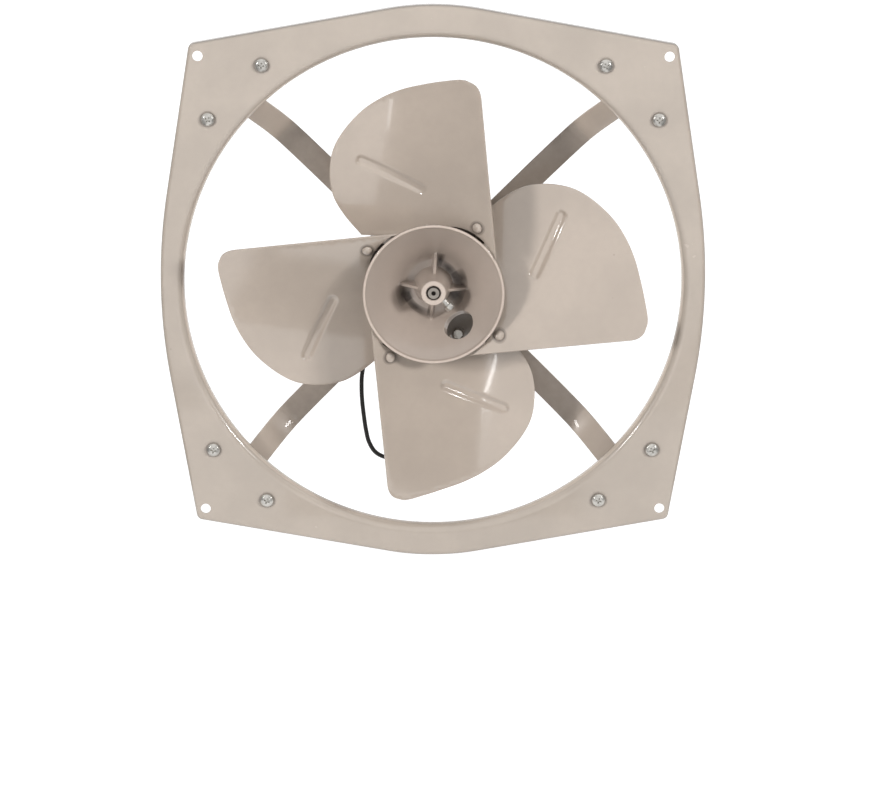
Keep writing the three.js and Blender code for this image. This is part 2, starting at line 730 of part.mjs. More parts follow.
function shaft() {
  const tip = -bossAhead - shaftChamfer;
  const frontShoulder = bossBack + seatGap;
  const coreStart = frontBearingBack + seatGap;
  const coreEnd = rearBearingFront - seatGap;
  return turned([
    [0, tip + centreHoleDepth], [centreHoleRadius, tip], [shaftRadius - shaftChamfer, tip],
    [shaftRadius, tip + shaftChamfer], [shaftRadius, frontShoulder], [bearingSeatRadius, frontShoulder],
    [bearingSeatRadius, coreStart], [coreSeatRadius, coreStart], [coreSeatRadius, coreEnd],
    [bearingSeatRadius, coreEnd], [bearingSeatRadius, rearBearingBack], [0, rearBearingBack],
  ], midFacets);
}

// Direction in the frame's plane at a clock bearing, measured from the top towards the right
function bearingDirection(angle) {
  return new THREE.Vector3(Math.sin(angle), 0, Math.cos(angle));
}

const glandDirection = bearingDirection(glandAngle);
const clampCentre = housingBack - clampMargin;
const coneTilt = Math.atan(coneSlope);

// Depth of a blade's middle surface at a place (u, v)
function bladeDepth(u, v) {
  const out = v - bladeMidRadius;
  const camber = (u + bladeCamberOffset) ** 2 / (2 * bladeCamberRadius);
  return -bladeMidAhead - bladePitchSlope * u - bladeRakeSlope * out - camber + u * out / bladeTwistLength;
}

const polar = (radius, angle) => new THREE.Vector2(radius * Math.sin(angle), radius * Math.cos(angle));

// Place on a blade from its shares
function placed([turnShare, reachShare]) {
  const radius = bladeRootRadius + reachShare * (sweepRadius - bladeRootRadius);
  return polar(radius, turnShare * quarterTurn);
}

// Place on the hub from its shares
const cast = ([uShare, vShare]) => new THREE.Vector2(uShare * hubRimRadius, vShare * hubRimRadius);
const rivetPlaces = rivetPlaceShares.map(cast);

// Blade outline: straight trailing edge, rounded tip corner, curved leading edge, and a root with a tongue
function bladeOutline() {
  const corner = new THREE.QuadraticBezierCurve(
    placed(straightTipShares), placed(tipCornerShares), placed(tipStartShares),
  );
  const edge = new THREE.SplineCurve([placed(tipStartShares), ...bladeEdgeShares.map(placed)]);
  const points = [placed(straightRootShares), ...corner.getPoints(arcFacets)];
  points.push(...edge.getPoints(outlineFacets).slice(1));
  const arcs = [
    [bladeTongueRadius, 0, tongueArcEnd, tongueArcStart],
    [bladeRootRadius, rootArcRise, rootArcEnd, rootArcStart],
  ];
  for (const [radius, rise, start, end] of arcs) {
    for (let step = 0; step <= arcFacets; step += 1) {
      const share = step / arcFacets;
      const lifted = radius + rise * Math.sin(Math.PI * share);
      points.push(polar(lifted, start + share * (end - start)));
    }
  }
  return new THREE.Shape(points);
}

// Sheet that follows a blade's surface over a rectangle of (u, v), between two offsets in depth
function bladeLayer(low, high, front, back, columns, rows) {
  const at = (offset) => (columnShare, rowShare) => {
    const u = low.x + columnShare * (high.x - low.x);
    const v = low.y + rowShare * (high.y - low.y);
    return [u, bladeDepth(u, v) + offset, v];
  };
  return sheet(at(front), at(back), columns, rows);
}

// Pressed groove: its centre line, and a strip of sheet that dips back along it
const groovePoints = [grooveStartShares, grooveBendShares, grooveEndShares].map((shares) => {
  const { x, y } = placed(shares);
  return new THREE.Vector3(x, 0, y);
});
const grooveLine = new THREE.QuadraticBezierCurve3(...groovePoints);

function grooveBand(halfWidth, depth, front, back, columns, rows) {
  const length = grooveLine.getLength();
  const at = (offset) => (columnShare, rowShare) => {
    const run = -halfWidth + columnShare * (length + 2 * halfWidth);
    const share = THREE.MathUtils.clamp(run / length, 0, 1);
    const centre = grooveLine.getPointAt(share);
    const along = grooveLine.getTangentAt(share);
    const past = run - share * length;
    const across = (2 * rowShare - 1) * halfWidth;
    const u = centre.x + along.x * past - along.z * across;
    const v = centre.z + along.z * past + along.x * across;
    const nearness = Math.max(0, 1 - Math.hypot(past, across) / halfWidth);
    const dip = depth * Math.sin(Math.min(1, 2 * nearness) * quarterTurn);
    return [u, bladeDepth(u, v) + offset + dip, v];
  };
  return sheet(at(front), at(back), columns, rows);
}

// Frame of a rivet: its axis is square to the blade's surface
function rivetMatrix({ x: u, y: v }) {
  const step = bladeSheet;
  const slopeU = (bladeDepth(u + step, v) - bladeDepth(u - step, v)) / (2 * step);
  const slopeV = (bladeDepth(u, v + step) - bladeDepth(u, v - step)) / (2 * step);
  const axis = new THREE.Vector3(-slopeU, 1, -slopeV).normalize();
  const turn = new THREE.Quaternion().setFromUnitVectors(new THREE.Vector3(0, 1, 0), axis);
  const matrix = new THREE.Matrix4().makeRotationFromQuaternion(turn);
  return matrix.setPosition(u, bladeDepth(u, v), v);
}

function rivetHoles(shape) {
  let drilled = shape;
  for (const place of rivetPlaces) {
    const hole = rod(rivetRadius + seatGap, -padThickness, padThickness + cutOverrun, smallFacets);
    drilled = drilled.subtract(moved(hole, rivetMatrix(place)));
  }
  return drilled;
}

// One blade, standing upright from the shaft
function blade() {
  const half = bladeSheet / 2;
  const outline = plateSlab(bladeOutline(), -sweepRadius, sweepRadius);
  const low = new THREE.Vector2(-sweepRadius / 2, bladeTongueRadius / 2);
  const high = new THREE.Vector2(sweepRadius / 3, sweepRadius);
  const pressed = bladeLayer(low, high, -half, half, bladeColumns, bladeRows).intersect(outline);
  const inside = grooveHalfWidth - grooveHem;
  const cut = grooveBand(inside, 0, -cutOverrun, cutOverrun, bladeColumns, grooveCutRows);
  const thin = half - seatGap / 3;
  const groove = grooveBand(grooveHalfWidth, grooveDepth, -thin, thin, bladeColumns, grooveRows);
  return rivetHoles(pressed.subtract(cut).add(groove));
}

// Cast pad behind a blade's root, with the web that carries its outer rivet
function bladePad() {
  const front = bladeSheet / 2 + seatGap;
  const outline = plateSlab(new THREE.Shape(padOutlineShares.map(cast)), -sweepRadius, sweepRadius);
  const low = new THREE.Vector2(-hubRimRadius / 2, bladeTongueRadius / 4);
  const high = new THREE.Vector2(hubRimRadius, 2 * hubRimRadius);
  const pad = bladeLayer(low, high, front, front + padThickness, padColumns, padRows).intersect(outline);
  const middle = rivetPlaces[0].x - rivetHeadRadius;
  const [half, back] = [webThickness / 2, front + webDepth];
  const webLow = new THREE.Vector2(middle - half, hubRimRadius - webSetIn);
  const webHigh = new THREE.Vector2(middle + half, hubRimRadius + webOverhang);
  return pad.add(bladeLayer(webLow, webHigh, front + fuseDepth, back, 1, 1));
}

function hub() {
  const wallAcross = hubWall / Math.cos(coneTilt);
  const rimFace = -hubRimAhead;
  const floorRadius = hubRimRadius - hubRimBeadRadius - coneSlope * (hubInnerDepth - hubFloorBlend);
  const innerRim = hubRimRadius - hubRimBeadRadius;
  const floor = floorRadius - hubFloorBlend;
  const outerRim = hubRimRadius + hubRimBeadRadius;
  const shell = turned([
    [innerRim, rimFace], [floorRadius, hubFloor - hubFloorBlend], [floor, hubFloor],
    [0, hubFloor], [0, hubBack], [floor + hubWall / 2, hubBack],
    [floorRadius + wallAcross, hubFloor - hubFloorBlend],
    [innerRim + wallAcross - coneSlope * hubWall, rimFace + hubWall], [outerRim, rimFace + hubRimBeadRadius],
    [outerRim, rimFace], [hubRimRadius, rimFace - hubRimBeadRadius],
  ], hubFacets);
  const cavity = turned([
    [0, rimFace - cutOverrun], [innerRim, rimFace - cutOverrun], [innerRim, rimFace],
    [floorRadius, hubFloor - hubFloorBlend], [floor, hubFloor], [0, hubFloor],
  ], hubFacets);
  let cup = shell;
  for (let index = 0; index < bladeCount; index += 1) {
    const pad = rivetHoles(bladePad()).subtract(cavity);
    cup = cup.add(swung(pad, bladeTurn + index * 2 * Math.PI / bladeCount));
  }
  const boss = turned([
    [0, -bossAhead], [bossTipRadius, -bossAhead], [bossRootRadius, hubFloor],
    [bossRootRadius, bossBack], [0, bossBack],
  ], midFacets);
  cup = cup.add(boss);
  for (let index = 0; index < 4; index += 1) {
    const shape = new THREE.Shape([
      new THREE.Vector2(bossTipRadius, rimFace + ribBossDepth),
      new THREE.Vector2(innerRim - coneSlope * ribWallDepth + hubWall / 2, rimFace + ribWallDepth),
      new THREE.Vector2(floorRadius + hubWall / 2, hubFloor - hubFloorBlend),
      new THREE.Vector2(floor, hubFloor + fuseDepth),
      new THREE.Vector2(bossTipRadius, hubFloor + fuseDepth),
    ]);
    const rib = new THREE.ExtrudeGeometry(shape, { depth: ribThickness, bevelEnabled: false });
    rib.translate(0, 0, -ribThickness / 2);
    cup = cup.add(swung(solid(rib), ribTurn + index * quarterTurn));
  }
  return drilledHub(cup);
}

// Bore, set-screw hole, and the round access hole with the collar cast round it on the outside
function drilledHub(cup) {
  const outward = bearingDirection(accessBearing);
  const normal = outward.clone().multiplyScalar(Math.cos(coneTilt));
  normal.y = Math.sin(coneTilt);
  const reach = hubRimRadius - coneSlope * (hubRimAhead - accessHoleAhead);
  const seat = [outward.x * reach, -accessHoleAhead, outward.z * reach];
  const collar = rod(accessCollarRadius, 0, hubWall + accessCollarHeight, midFacets);
  const hole = rod(accessHoleRadius, -cutOverrun, hubWall + accessCollarHeight + cutOverrun, midFacets);
  const bore = rod(shaftRadius + seatGap, -hubRimAhead, bossBack + cutOverrun, midFacets);
  const screwHole = rod(setScrewRadius + seatGap, 0, bossRootRadius + cutOverrun, smallFacets);
  return cup
    .add(aimed(collar, normal, ...seat))
    .subtract(aimed(hole, normal, ...seat))
    .subtract(bore)
    .subtract(aimed(screwHole, bearingDirection(setScrewBearing), 0, -setScrewAhead, 0));
}

// Set screw on its own axis, +Y, with its point a gap away from the shaft
function setScrew() {
  const start = shaftRadius + 2 * seatGap;
  const headSeat = start + setScrewLength;
  const screw = rod(setScrewRadius, start, headSeat, smallFacets);
  const head = rod(setScrewHeadRadius, headSeat - fuseDepth, headSeat + setScrewHeadHeight, nutFacets);
  return aimed(screw.add(head), bearingDirection(setScrewBearing), 0, -setScrewAhead, 0);
}

// Rivet about its own axis: domed head in front of the blade, formed tail behind the pad
function rivet() {
  const headSeat = -bladeSheet / 2 - seatGap;
  const tailSeat = bladeSheet / 2 + 2 * seatGap + padThickness;
  const corners = [[0, tailSeat + rivetTailHeight], [rivetTailRadius, tailSeat + rivetTailHeight]];
  corners.push([rivetTailRadius, tailSeat], [rivetRadius, tailSeat], [rivetRadius, headSeat]);
  for (let step = 0; step < bendFacets; step += 1) {
    const angle = (step / bendFacets) * quarterTurn;
    corners.push([rivetHeadRadius * Math.cos(angle), headSeat - rivetHeadHeight * Math.sin(angle)]);
  }
  corners.push([0, headSeat - rivetHeadHeight]);
  return turned(corners, smallFacets);
}

function cableGland() {
  const inner = casingInnerRadius;
  const seat = motorRadius + seatGap;
  const shape = turned([
    [0, inner], [glandSpigotRadius, inner], [glandSpigotRadius, seat], [glandFlangeRadius, seat],
    [glandFlangeRadius, seat + glandFlangeThickness], [glandNoseRadius, seat + glandLength],
    [0, seat + glandLength],
  ], smallFacets);
  return aimed(shape, glandDirection, 0, (housingFront + housingBack) / 2, 0);
}

// Capacitor under the motor, its clamp, and the boot over its terminals
const clampSeat = -motorRadius - padDrop - seatGap;
const capacitorHeight = clampSeat - clampWall - seatGap - capacitorRadius;
const capacitorFront = housingFront + capacitorSetBack;
const capacitorBack = capacitorFront + capacitorLength;
const bootFront = capacitorBack + seatGap;
const snoutEnd = capacitorHeight - capacitorRadius - bootSnoutLength;

function capacitor() {
  return shifted(rod(capacitorRadius, capacitorFront, capacitorBack, midFacets), 0, 0, capacitorHeight);
}

function capacitorClamp() {
  const [inner, outer] = [capacitorRadius + seatGap, capacitorRadius + seatGap + clampWall];
  const [front, back] = [clampCentre - clampWidth / 2, clampCentre + clampWidth / 2];
  const band = turned([[inner, front], [outer, front], [outer, back], [inner, back]], midFacets);
  const tabEnd = clampScrewReach + clampWidth / 2;
  const tab = block([0, front, clampSeat - clampWall], [tabEnd, back, clampSeat]);
  const hollow = rod(inner, front - cutOverrun, back + cutOverrun, midFacets);
  const hole = rod(clampScrewRadius + seatGap, -cutOverrun, cutOverrun, smallFacets);
  const up = new THREE.Vector3(0, 0, 1);
  return shifted(band, 0, 0, capacitorHeight)
    .add(tab.subtract(shifted(hollow, 0, 0, capacitorHeight)))
    .subtract(aimed(hole, up, clampScrewReach, clampCentre, clampSeat));
}

function clampScrew() {
  const screw = crossScrew(clampScrewRadius, clampScrewHeadRadius, clampScrewHeadHeight, clampScrewLength);
  const up = new THREE.Vector3(0, 0, 1);
  return aimed(screw, up, clampScrewReach, clampCentre, clampSeat - clampWall - seatGap);
}

function capacitorBoot() {
  const cap = rod(capacitorRadius, bootFront, bootFront + bootLength, midFacets);
  const snout = rod(bootSnoutRadius, 0, capacitorRadius + bootSnoutLength, smallFacets);
  const down = new THREE.Vector3(0, 0, -1);
  const middle = bootFront + bootLength / 2;
  return shifted(cap, 0, 0, capacitorHeight).add(aimed(snout, down, 0, middle, capacitorHeight));
}

function motorLead() {
  const reach = motorRadius + seatGap + glandLength + seatGap;
  const centre = (housingFront + housingBack) / 2;
  const points = [new THREE.Vector3(glandDirection.x * reach, centre, glandDirection.z * reach)];
  points.push(...leadRoute.map(([x, y, z]) => new THREE.Vector3(x, y, z)));
  points.push(new THREE.Vector3(0, bootFront + bootLength / 2, snoutEnd - seatGap));
  const section = new THREE.Shape();
  section.absarc(0, 0, leadRadius, 0, 2 * Math.PI, false);
  const extrudePath = new THREE.CatmullRomCurve3(points);
  const settings = { steps: leadSteps, extrudePath, curveSegments: leadFacets / 2 };
  return solid(new THREE.ExtrudeGeometry(section, settings));
}

// Finishes
function finish(color, roughness, metalness) {
  return new THREE.MeshStandardMaterial({ color, roughness, metalness });
}

const framePaint = finish(0xc8bcb0, 0.35, 0.1);
const bladePaint = finish(0xb9aca2, 0.3, 0.1);
const hubPaint = finish(0xaba096, 0.35, 0.1);
const barPaint = finish(0x968a7d, 0.5, 0.1);
const motorPaint = finish(0x6f675f, 0.6, 0.2);
const zinc = finish(0xb8b6b2, 0.35, 0.9);
const steel = finish(0x8d8a86, 0.3, 0.9);
const lamination = finish(0x55565a, 0.55, 0.8);
const copper = finish(0xa4582b, 0.4, 0.8);
const blackPlastic = finish(0x1b1a19, 0.55, 0);
const aluminium = finish(0xb4b6b8, 0.4, 0.9);

const fan = new THREE.Group();

function addPiece(name, shape, material, parent = fan) {
  const mesh = new THREE.Mesh(geometryOf(shape), material);
  mesh.name = name;
  parent.add(mesh);
  return mesh;
}

addPiece('frame_plate', framePlate(), framePaint);
frameScrewPlaces().forEach(([x, z], index) => {
  const length = plateSheet + seatGap + barThickness + weldNutThickness + frameScrewTail;
  const screw = crossScrew(frameScrewRadius, frameScrewHeadRadius, frameScrewHeadHeight, length);
  const mesh = addPiece(`frame_screw_${index + 1}`, screw, zinc);
  mesh.position.set(x, -seatGap, z);
});
for (let index = 0; index < 4; index += 1) {
  const corner = new THREE.Group();
  corner.rotation.y = -(quarterTurn / 2 + index * quarterTurn);
  fan.add(corner);
  addPiece(`arm_${index + 1}`, motorArm(), barPaint, corner);
  const length = barThickness + seatGap + lugThickness - casingWall - fuseDepth;
  const bolt = hexBolt(armBoltRadius, armBoltHeadRadius, armBoltHeadHeight, length);
  const mesh = addPiece(`arm_bolt_${index + 1}`, bolt, zinc, corner);
  mesh.position.set(armBoltReach, armPlane - barThickness / 2 - seatGap, 0);
}

addPiece('front_end_shield', frontEndShield(), motorPaint);
addPiece('motor_housing', motorHousing(), motorPaint);
addPiece('rear_end_shield', rearEndShield(), motorPaint);
throughBoltPlaces().forEach(([x, z], index) => {
  const headSeat = boltHeadSeat - boltPadRise - seatGap;
  const bolt = hexBolt(throughBoltRadius, throughBoltHeadRadius, throughBoltHeadHeight, boltEnd - headSeat);
  const mesh = addPiece(`through_bolt_${index + 1}`, bolt, zinc);
  mesh.position.set(x, headSeat, z);
});
addPiece('stator_core', statorCore(), lamination);
addPiece('stator_winding', statorWinding(), copper);
addPiece('front_bearing_outer', bearingOuter(frontBearingFront), steel);
addPiece('rear_bearing_outer', bearingOuter(rearBearingFront), steel);
addPiece('cable_gland', cableGland(), blackPlastic);
addPiece('motor_lead', motorLead(), blackPlastic);
addPiece('capacitor', capacitor(), aluminium);
addPiece('capacitor_clamp', capacitorClamp(), zinc);
addPiece('clamp_screw', clampScrew(), zinc);
addPiece('capacitor_boot', capacitorBoot(), blackPlastic);

const rotor = new THREE.Group();
fan.add(rotor);
addPiece('shaft', shaft(), steel, rotor);
addPiece('rotor_core', rotorCore(), lamination, rotor);
addPiece('front_bearing_inner', bearingInner(frontBearingFront), steel, rotor);
addPiece('rear_bearing_inner', bearingInner(rearBearingFront), steel, rotor);
addPiece('hub', hub(), hubPaint, rotor);
addPiece('set_screw', setScrew(), zinc, rotor);
for (let index = 0; index < bladeCount; index += 1) {
  const arm = new THREE.Group();
  arm.rotation.y = -(bladeTurn + index * 2 * Math.PI / bladeCount);
  rotor.add(arm);
  addPiece(`blade_${index + 1}`, blade(), bladePaint, arm);
  rivetPlaces.forEach((place, order) => {
    const mesh = addPiece(`blade_rivet_${index * rivetPlaces.length + order + 1}`, rivet(), bladePaint, arm);
    mesh.applyMatrix4(rivetMatrix(place));
  });
}

export default fan;
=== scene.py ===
"""Industrial exhaust fan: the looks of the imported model, in metres, in the model's own frame."""

import logging
import math
from dataclasses import dataclass, field
from enum import Enum
from typing import Callable, Iterable, Optional, Sequence, Union

import bmesh
import bpy
from mathutils import Matrix, Vector
from mathutils.geometry import delaunay_2d_cdt, interpolate_bezier


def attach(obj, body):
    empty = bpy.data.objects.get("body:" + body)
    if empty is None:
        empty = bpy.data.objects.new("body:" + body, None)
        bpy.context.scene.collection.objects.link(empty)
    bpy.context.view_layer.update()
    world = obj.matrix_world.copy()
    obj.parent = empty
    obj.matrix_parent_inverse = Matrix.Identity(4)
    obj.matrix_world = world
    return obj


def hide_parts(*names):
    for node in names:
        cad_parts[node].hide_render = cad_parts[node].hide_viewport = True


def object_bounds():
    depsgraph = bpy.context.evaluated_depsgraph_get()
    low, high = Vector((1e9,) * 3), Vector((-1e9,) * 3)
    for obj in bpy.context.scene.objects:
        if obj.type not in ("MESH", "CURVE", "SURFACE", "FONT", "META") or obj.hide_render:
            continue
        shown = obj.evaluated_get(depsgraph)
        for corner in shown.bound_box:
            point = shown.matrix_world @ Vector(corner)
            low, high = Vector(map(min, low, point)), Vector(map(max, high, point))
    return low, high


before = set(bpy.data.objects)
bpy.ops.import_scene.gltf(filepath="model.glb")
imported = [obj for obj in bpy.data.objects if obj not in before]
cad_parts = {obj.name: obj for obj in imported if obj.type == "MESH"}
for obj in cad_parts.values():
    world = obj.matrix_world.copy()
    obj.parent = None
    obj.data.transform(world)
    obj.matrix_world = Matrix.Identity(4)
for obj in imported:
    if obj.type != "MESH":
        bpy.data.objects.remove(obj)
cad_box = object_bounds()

log = logging.getLogger("exhaust_fan")

MM = 0.001
QUARTER = math.pi / 2
SHEET_EDGE = 50.0  # degrees past which an edge of pressed sheet is sharp
CAST_EDGE = 40.0  # the same for everything else
TINY = 1e-6  # millimetres below which two corners are one
ROUND_SHARE = 0.48  # the most of a side that a round may take
Place = tuple[float, float, float]
Pair = tuple[float, float]
Colour = tuple[float, float, float, float]
Number = Union[float, "Signal"]


class Body(Enum):
    """The two bodies of the fan."""

    FRAME = "frame"
    ROTOR = "rotor"


# ---------------------------------------------------------------------------
# Node trees
# ---------------------------------------------------------------------------


@dataclass
class Signal:
    """A value, colour or vector on its way through a node tree."""

    tree: "Tree"
    socket: bpy.types.NodeSocket

    def _maths(self, operation: str, first: Number, second: Optional[Number] = None) -> "Signal":
        """Adds a Math node.

        Args:
            operation: The node's operation.
            first: The first value.
            second: The second value, where the operation takes one.

        Returns:
            The node's result.
        """
        values = {0: first} if second is None else {0: first, 1: second}
        return self.tree.add("ShaderNodeMath", {"operation": operation}, values)

    def __add__(self, other: Number) -> "Signal":
        """Sum."""
        return self._maths("ADD", self, other)

    def __radd__(self, other: Number) -> "Signal":
        """Sum, with the number first."""
        return self._maths("ADD", other, self)

    def __sub__(self, other: Number) -> "Signal":
        """Difference."""
        return self._maths("SUBTRACT", self, other)

    def __rsub__(self, other: Number) -> "Signal":
        """Difference, with the number first."""
        return self._maths("SUBTRACT", other, self)

    def __mul__(self, other: Number) -> "Signal":
        """Product."""
        return self._maths("MULTIPLY", self, other)

    def __rmul__(self, other: Number) -> "Signal":
        """Product, with the number first."""
        return self._maths("MULTIPLY", other, self)

    def __truediv__(self, other: Number) -> "Signal":
        """Quotient."""
        return self._maths("DIVIDE", self, other)

    def __pow__(self, other: Number) -> "Signal":
        """Power."""
        return self._maths("POWER", self, other)

    def __neg__(self) -> "Signal":
        """The value with its sign changed."""
        return self._maths("MULTIPLY", self, -1.0)

    def maths(self, operation: str, other: Optional[Number] = None) -> "Signal":
        """Result of any other Math node, with this value first."""
        return self._maths(operation, self, other)

    def above(self, edge: float, width: float) -> "Signal":
        """Soft step.

        Args:
            edge: The value at which the step starts.
            width: How far it takes to rise from 0 to 1.

        Returns:
            0 below the edge, 1 past the edge and the width.
        """
        sockets = {"Value": self, "From Min": edge, "From Max": edge + width}
        return self.tree.add("ShaderNodeMapRange", {"interpolation_type": "SMOOTHSTEP"}, sockets)


class Tree:
    """A node tree that is built by calls, for a material or for geometry."""

    def __init__(self, nodes: bpy.types.NodeTree) -> None:
        """Takes the empty tree.

        Args:
            nodes: The tree to build in.
        """
        self.nodes = nodes

    def add(
        self,
        kind: str,
        settings: Optional[dict[str, object]] = None,
        sockets: Optional[dict[Union[int, str], object]] = None,
        out: Union[int, str] = 0,
    ) -> Signal:
        """Adds any node.

        Args:
            kind: The node's type.
            settings: The node's own properties, set before its sockets.
            sockets: Values or signals by the input's name or number.
            out: The output's name or number.

        Returns:
            The chosen output.
        """
        node = self.nodes.nodes.new(kind)
        for name, value in (settings or {}).items():
            setattr(node, name, value)
        for name, value in (sockets or {}).items():
            if isinstance(value, Signal):
                self.nodes.links.new(value.socket, node.inputs[name])
            else:
                node.inputs[name].default_value = value
        return Signal(self, node.outputs[out])


class SurfaceTree(Tree):
    """The node tree of one material, on the piece's own coordinates."""

    def __init__(self, name: str) -> None:
        """Makes the material.

        Args:
            name: The material's name.
        """
        self.material = bpy.data.materials.new(name)
        self.material.use_nodes = True
        self.material.node_tree.nodes.clear()
        super().__init__(self.material.node_tree)
        self.place = self.add("ShaderNodeTexCoord", out="Object")

    def noise(self, size: float, detail: float = 3.0, stretch: Optional[Place] = None) -> Signal:
        """Noise from 0 to 1.

        Args:
            size: Size of one spot, in millimetres.
            detail: Octaves of finer noise.
            stretch: How much longer the spots are along each axis.

        Returns:
            The noise's value.
        """
        place = self.place
        if stretch is not None:
            scale = tuple(1.0 / value for value in stretch)
            place = self.add("ShaderNodeMapping", None, {"Vector": place, "Scale": scale})
        sockets = {"Vector": place, "Scale": 1.0 / (size * MM), "Detail": detail}
        return self.add("ShaderNodeTexNoise", None, sockets, "Fac")

    def attribute(self, name: str) -> Signal:
        """Value painted on the mesh.

        Args:
            name: The attribute's name.

        Returns:
            The value, 0 where the piece has none.
        """
        return self.add("ShaderNodeAttribute", {"attribute_name": name}, out="Fac")

    def blend(self, share: Signal, first: object, second: object) -> Signal:
        """Mix of two colours.

        Args:
            share: Share of the second colour.
            first: Colour at share 0.
            second: Colour at share 1.

        Returns:
            The mixed colour.
        """
        sockets = {"Factor": share, 6: first, 7: second}
        return self.add("ShaderNodeMix", {"data_type": "RGBA"}, sockets, 2)

    def relief(self, height: Signal, depth: float, strength: float) -> Signal:
        """Bump.

        Args:
            height: Height from 0 to 1.
            depth: What a height of 1 stands for, in millimetres.
            strength: Share of the bump that is used.

        Returns:
            The bumped normal.
        """
        sockets = {"Height": height, "Distance": depth * MM, "Strength": strength}
        return self.add("ShaderNodeBump", None, sockets, "Normal")

    def surface(self, sockets: dict[str, object]) -> bpy.types.Material:
        """Ends the material in a Principled shader.

        Args:
            sockets: The shader's values and links.

        Returns:
            The finished material.
        """
        shader = self.add("ShaderNodeBsdfPrincipled", None, sockets, "BSDF")
        self.add_output(shader)
        return self.material

    def add_output(self, shader: Signal) -> None:
        """Links a shader to the material's output."""
        node = self.nodes.nodes.new("ShaderNodeOutputMaterial")
        self.nodes.links.new(shader.socket, node.inputs["Surface"])


def paint_colour(red: int, green: int, blue: int) -> Colour:
    """Linear colour from the 0 to 255 values that a screen shows.

    Args:
        red: Red.
        green: Green.
        blue: Blue.

    Returns:
        Linear red, green, blue and alpha.
    """

    def linear(value: int) -> float:
        """Linear value of one channel."""
        share = value / 255
        return share / 12.92 if share <= 0.04045 else ((share + 0.055) / 1.055) ** 2.4

    return (linear(red), linear(green), linear(blue), 1.0)


def shade(colour: Sequence[float], share: float) -> Colour:
    """A lighter or darker version of a colour.

    Args:
        colour: The colour.
        share: What it is multiplied by.

    Returns:
        The new colour.
    """
    red, green, blue = (min(value * share, 1.0) for value in colour[:3])
    return (red, green, blue, 1.0)


# ---------------------------------------------------------------------------
# Finishes
# ---------------------------------------------------------------------------


